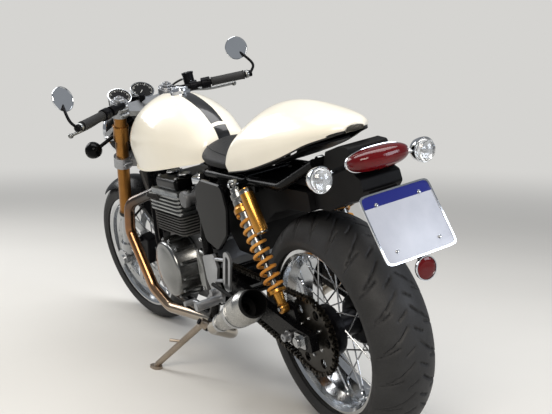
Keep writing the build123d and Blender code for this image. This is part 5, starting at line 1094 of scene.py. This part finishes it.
# %% Hubs, spokes and disc buttons
RIM_REACH, SPOKES_A_SIDE = 199.0, 16
HUBS = {
    "rear": (REAR_AXLE, 44, 62, 14, satin_black, "black_satin",
             [(-84, 12.8), (-84, 38), (-82, 40), (-58, 40), (-50, 66), (-48, 70), (-40, 70), (-38, 66),
              (-32, 38), (0, 33), (32, 38), (38, 66), (40, 70), (46, 72), (64, 72), (70, 62), (99.7, 60),
              (99.7, 12.8)]),
    "front": (FRONT_AXLE, 32, 46, 9, hub_alloy, "hub_alloy",
              [(-52, 12.8), (-52, 32), (-50, 34), (-37, 34), (-37, 50), (-35, 52), (-30, 52), (-28, 50),
               (-22, 27), (0, 24), (22, 27), (28, 50), (30, 52), (35, 52), (37, 50), (37, 34), (50, 34),
               (52, 32), (52, 12.8)]),
}
for end, (centre, flange_y, flange_radius, rim_y, finish, slot, profile) in HUBS.items():
    wires, nipples = [], []
    for side in SIDES:
        for i in range(SPOKES_A_SIDE):
            lead = 1 if i % 2 else -1
            at_rim = math.radians((i + 0.25 * side) * 360 / SPOKES_A_SIDE)
            inner_end = centre + upright(at_rim - lead * math.radians(50), flange_radius,
                                         side * (flange_y + lead * 2))
            outer_end = centre + upright(at_rim, RIM_REACH, side * rim_y)
            wires += [bar(inner_end, outer_end, 2.2, steps=10),
                      turned([(0, 1.6), (3.5, 3.6), (4.6, 3.4), (5, 1)], inner_end, LEFT * side * lead, 12)]
            nipples.append(turned([(-13, 2.6), (-12, 3.3), (-2, 3.3), (0, 3.3)], outer_end,
                                  outer_end - inner_end, 8))
    body = end + "_wheel"
    piece(end + "_hub_shell", [sleeve(profile, centre, LEFT, 72)], body, finish, end + "_hub", sharp=30)
    piece(end + "_wire_spokes", wires, body, plated_steel)
    piece(end + "_nipples", nipples, body, chrome)

# Each row is a ring of buttons: its side and place across, its radius and how many it has
BUTTONS = {
    "front_wheel": (FRONT_AXLE, [(1, 57.3, 119, 10), (-1, -57.3, 119, 10), (1, 57.3, 42, 5),
                                 (-1, -57.3, 42, 5)]),
    "rear_wheel": (REAR_AXLE, [(-1, -89.3, 78, 8), (-1, -89.3, 42, 5), (1, 108, 52, 6)]),
}
for body, (centre, sets) in BUTTONS.items():
    heads = []
    for side, y, radius, count in sets:
        for a in angles(count, math.pi / count):
            heads += bolt(centre + upright(a, radius, y), LEFT * side, 5.5, 6 if radius < 60 else 16)
    piece(body + "_disc_bolts", heads, body, plated_steel)

# %% The chain's path
CHAIN_PITCH, CHAIN_Y, SMALL_TEETH, BIG_TEETH = 15.875, 104.0, 17, 42
OUTPUT, DRIVEN = Vector((575, CHAIN_Y, 400)), Vector((0, CHAIN_Y, REAR_RADIUS))
small, big = (CHAIN_PITCH / (2 * math.sin(math.pi / teeth)) for teeth in (SMALL_TEETH, BIG_TEETH))
slope = math.atan2(OUTPUT.z - DRIVEN.z, OUTPUT.x - DRIVEN.x)
wrap = math.asin((big - small) / (OUTPUT - DRIVEN).length)
high, low = slope + math.pi / 2 - wrap, slope - math.pi / 2 + wrap
loop = [centre + upright(start + sweep * k / 90, 1) * radius
        for centre, radius, start, sweep in ((DRIVEN, big, high, math.pi + 2 * wrap),
                                             (OUTPUT, small, low, math.pi - 2 * wrap)) for k in range(91)]
loop.append(loop[0])
whole = sum((b - a).length for a, b in zip(loop, loop[1:]))


def on_chain(distance):
    """The point that far round the chain's loop."""
    distance %= whole
    for a, b in zip(loop, loop[1:]):
        step = (b - a).length
        if distance <= step:
            return a.lerp(b, distance / step)
        distance -= step
    return loop[-1]


# %% Chain links
LINK_END, LINK_WAIST = 6.6, 4.6


def link_plate(a, b, y_in, y_out):
    """One waisted side plate between two pins."""
    run, outline = (b - a).normalized(), []
    lift = Vector((-run.z, 0, run.x))
    for end, turn in ((b, 1), (a, -1)):
        for t in [math.pi * (k / 6 - 0.5) for k in range(7)]:
            out = turn * LINK_END
            outline.append(end + run * (out * math.cos(t)) - lift * (out * math.sin(t)))
        outline.append((a + b) / 2 + lift * turn * LINK_WAIST)
    return skin([[p + LEFT * y for p in outline] for y in (y_in, y_out)])


links = 2 * round(whole / CHAIN_PITCH / 2)
tooth = 2 * math.pi / BIG_TEETH
offset = (math.ceil(high / tooth) * tooth - high) * big
pins = [on_chain(offset + whole * k / links) for k in range(links + 1)]
plates, rollers = [], []
for k, (a, b) in enumerate(zip(pins, pins[1:])):
    near, far = (4.8, 6.5) if k % 2 else (6.7, 8.4)
    plates += [link_plate(a, b, near, far), link_plate(a, b, -far, -near)]
    if (a - DRIVEN).length < big + 5:
        rollers += [turned([(4.2, 2.6), (8.8, 2.6), (9.2, 2)], a, LEFT * side, 12) for side in SIDES]
    else:
        rollers += [turned([(-4.7, 4.6), (4.7, 4.6)], a, LEFT, 12),
                    turned([(-9.2, 2), (-8.8, 2.6), (8.8, 2.6), (9.2, 2)], a, LEFT, 12)]
piece("chain_plates", plates, "chassis", chain_steel, "drive_chain", sharp=30)
# The rollers share the sprocket's steel, darkened with painted shade
piece("chain_rollers", rollers, "chassis", dark_steel_painted_shade)
print(links, "links in the chain")

# %% [markdown]
# ## Front brake hose
# The hose has a fixed length and a little stiffness, so it is one smooth spline through the same
# few points as the CAD tube, from the reservoir down to a clip on the lower yoke.

# %% The hose and its fittings
HOSE = [pot + Vector((20.3, 0, 17)), steer_point(45, -172, 1012), steer_point(84, -135, 962),
        steer_point(82, -88, 900), steer_point(59.743, -62, 768.01)]
HOSE_LENGTH, HOSE_THICK = 0.317, 0.008
curve = bpy.data.curves.new("brake_hose_line", "CURVE")
curve.dimensions = "3D"
curve.bevel_depth, curve.bevel_resolution, curve.resolution_u = HOSE_THICK / 2, 5, 24
curve.use_fill_caps = True
line = curve.splines.new("NURBS")
line.points.add(len(HOSE) - 1)
for point, place in zip(line.points, HOSE):
    point.co = (*place * MM, 1)
line.order_u = 3
line.use_endpoint_u = True
curve.materials.append(butyl_rubber)
hose = put_on(bpy.data.objects.new("brake_hose_line", curve), "steering", "brake_hose")
ferrules = [sleeve([(0, 4.2), (0.5, 5.6), (14, 5.6), (16, 4.2)], at, next_point - at, 24)
            for at, next_point in ((HOSE[0], HOSE[1]), (HOSE[-1], HOSE[-2]))]
fittings = piece("brake_hose_ferrules", ferrules, "steering", plated_steel)
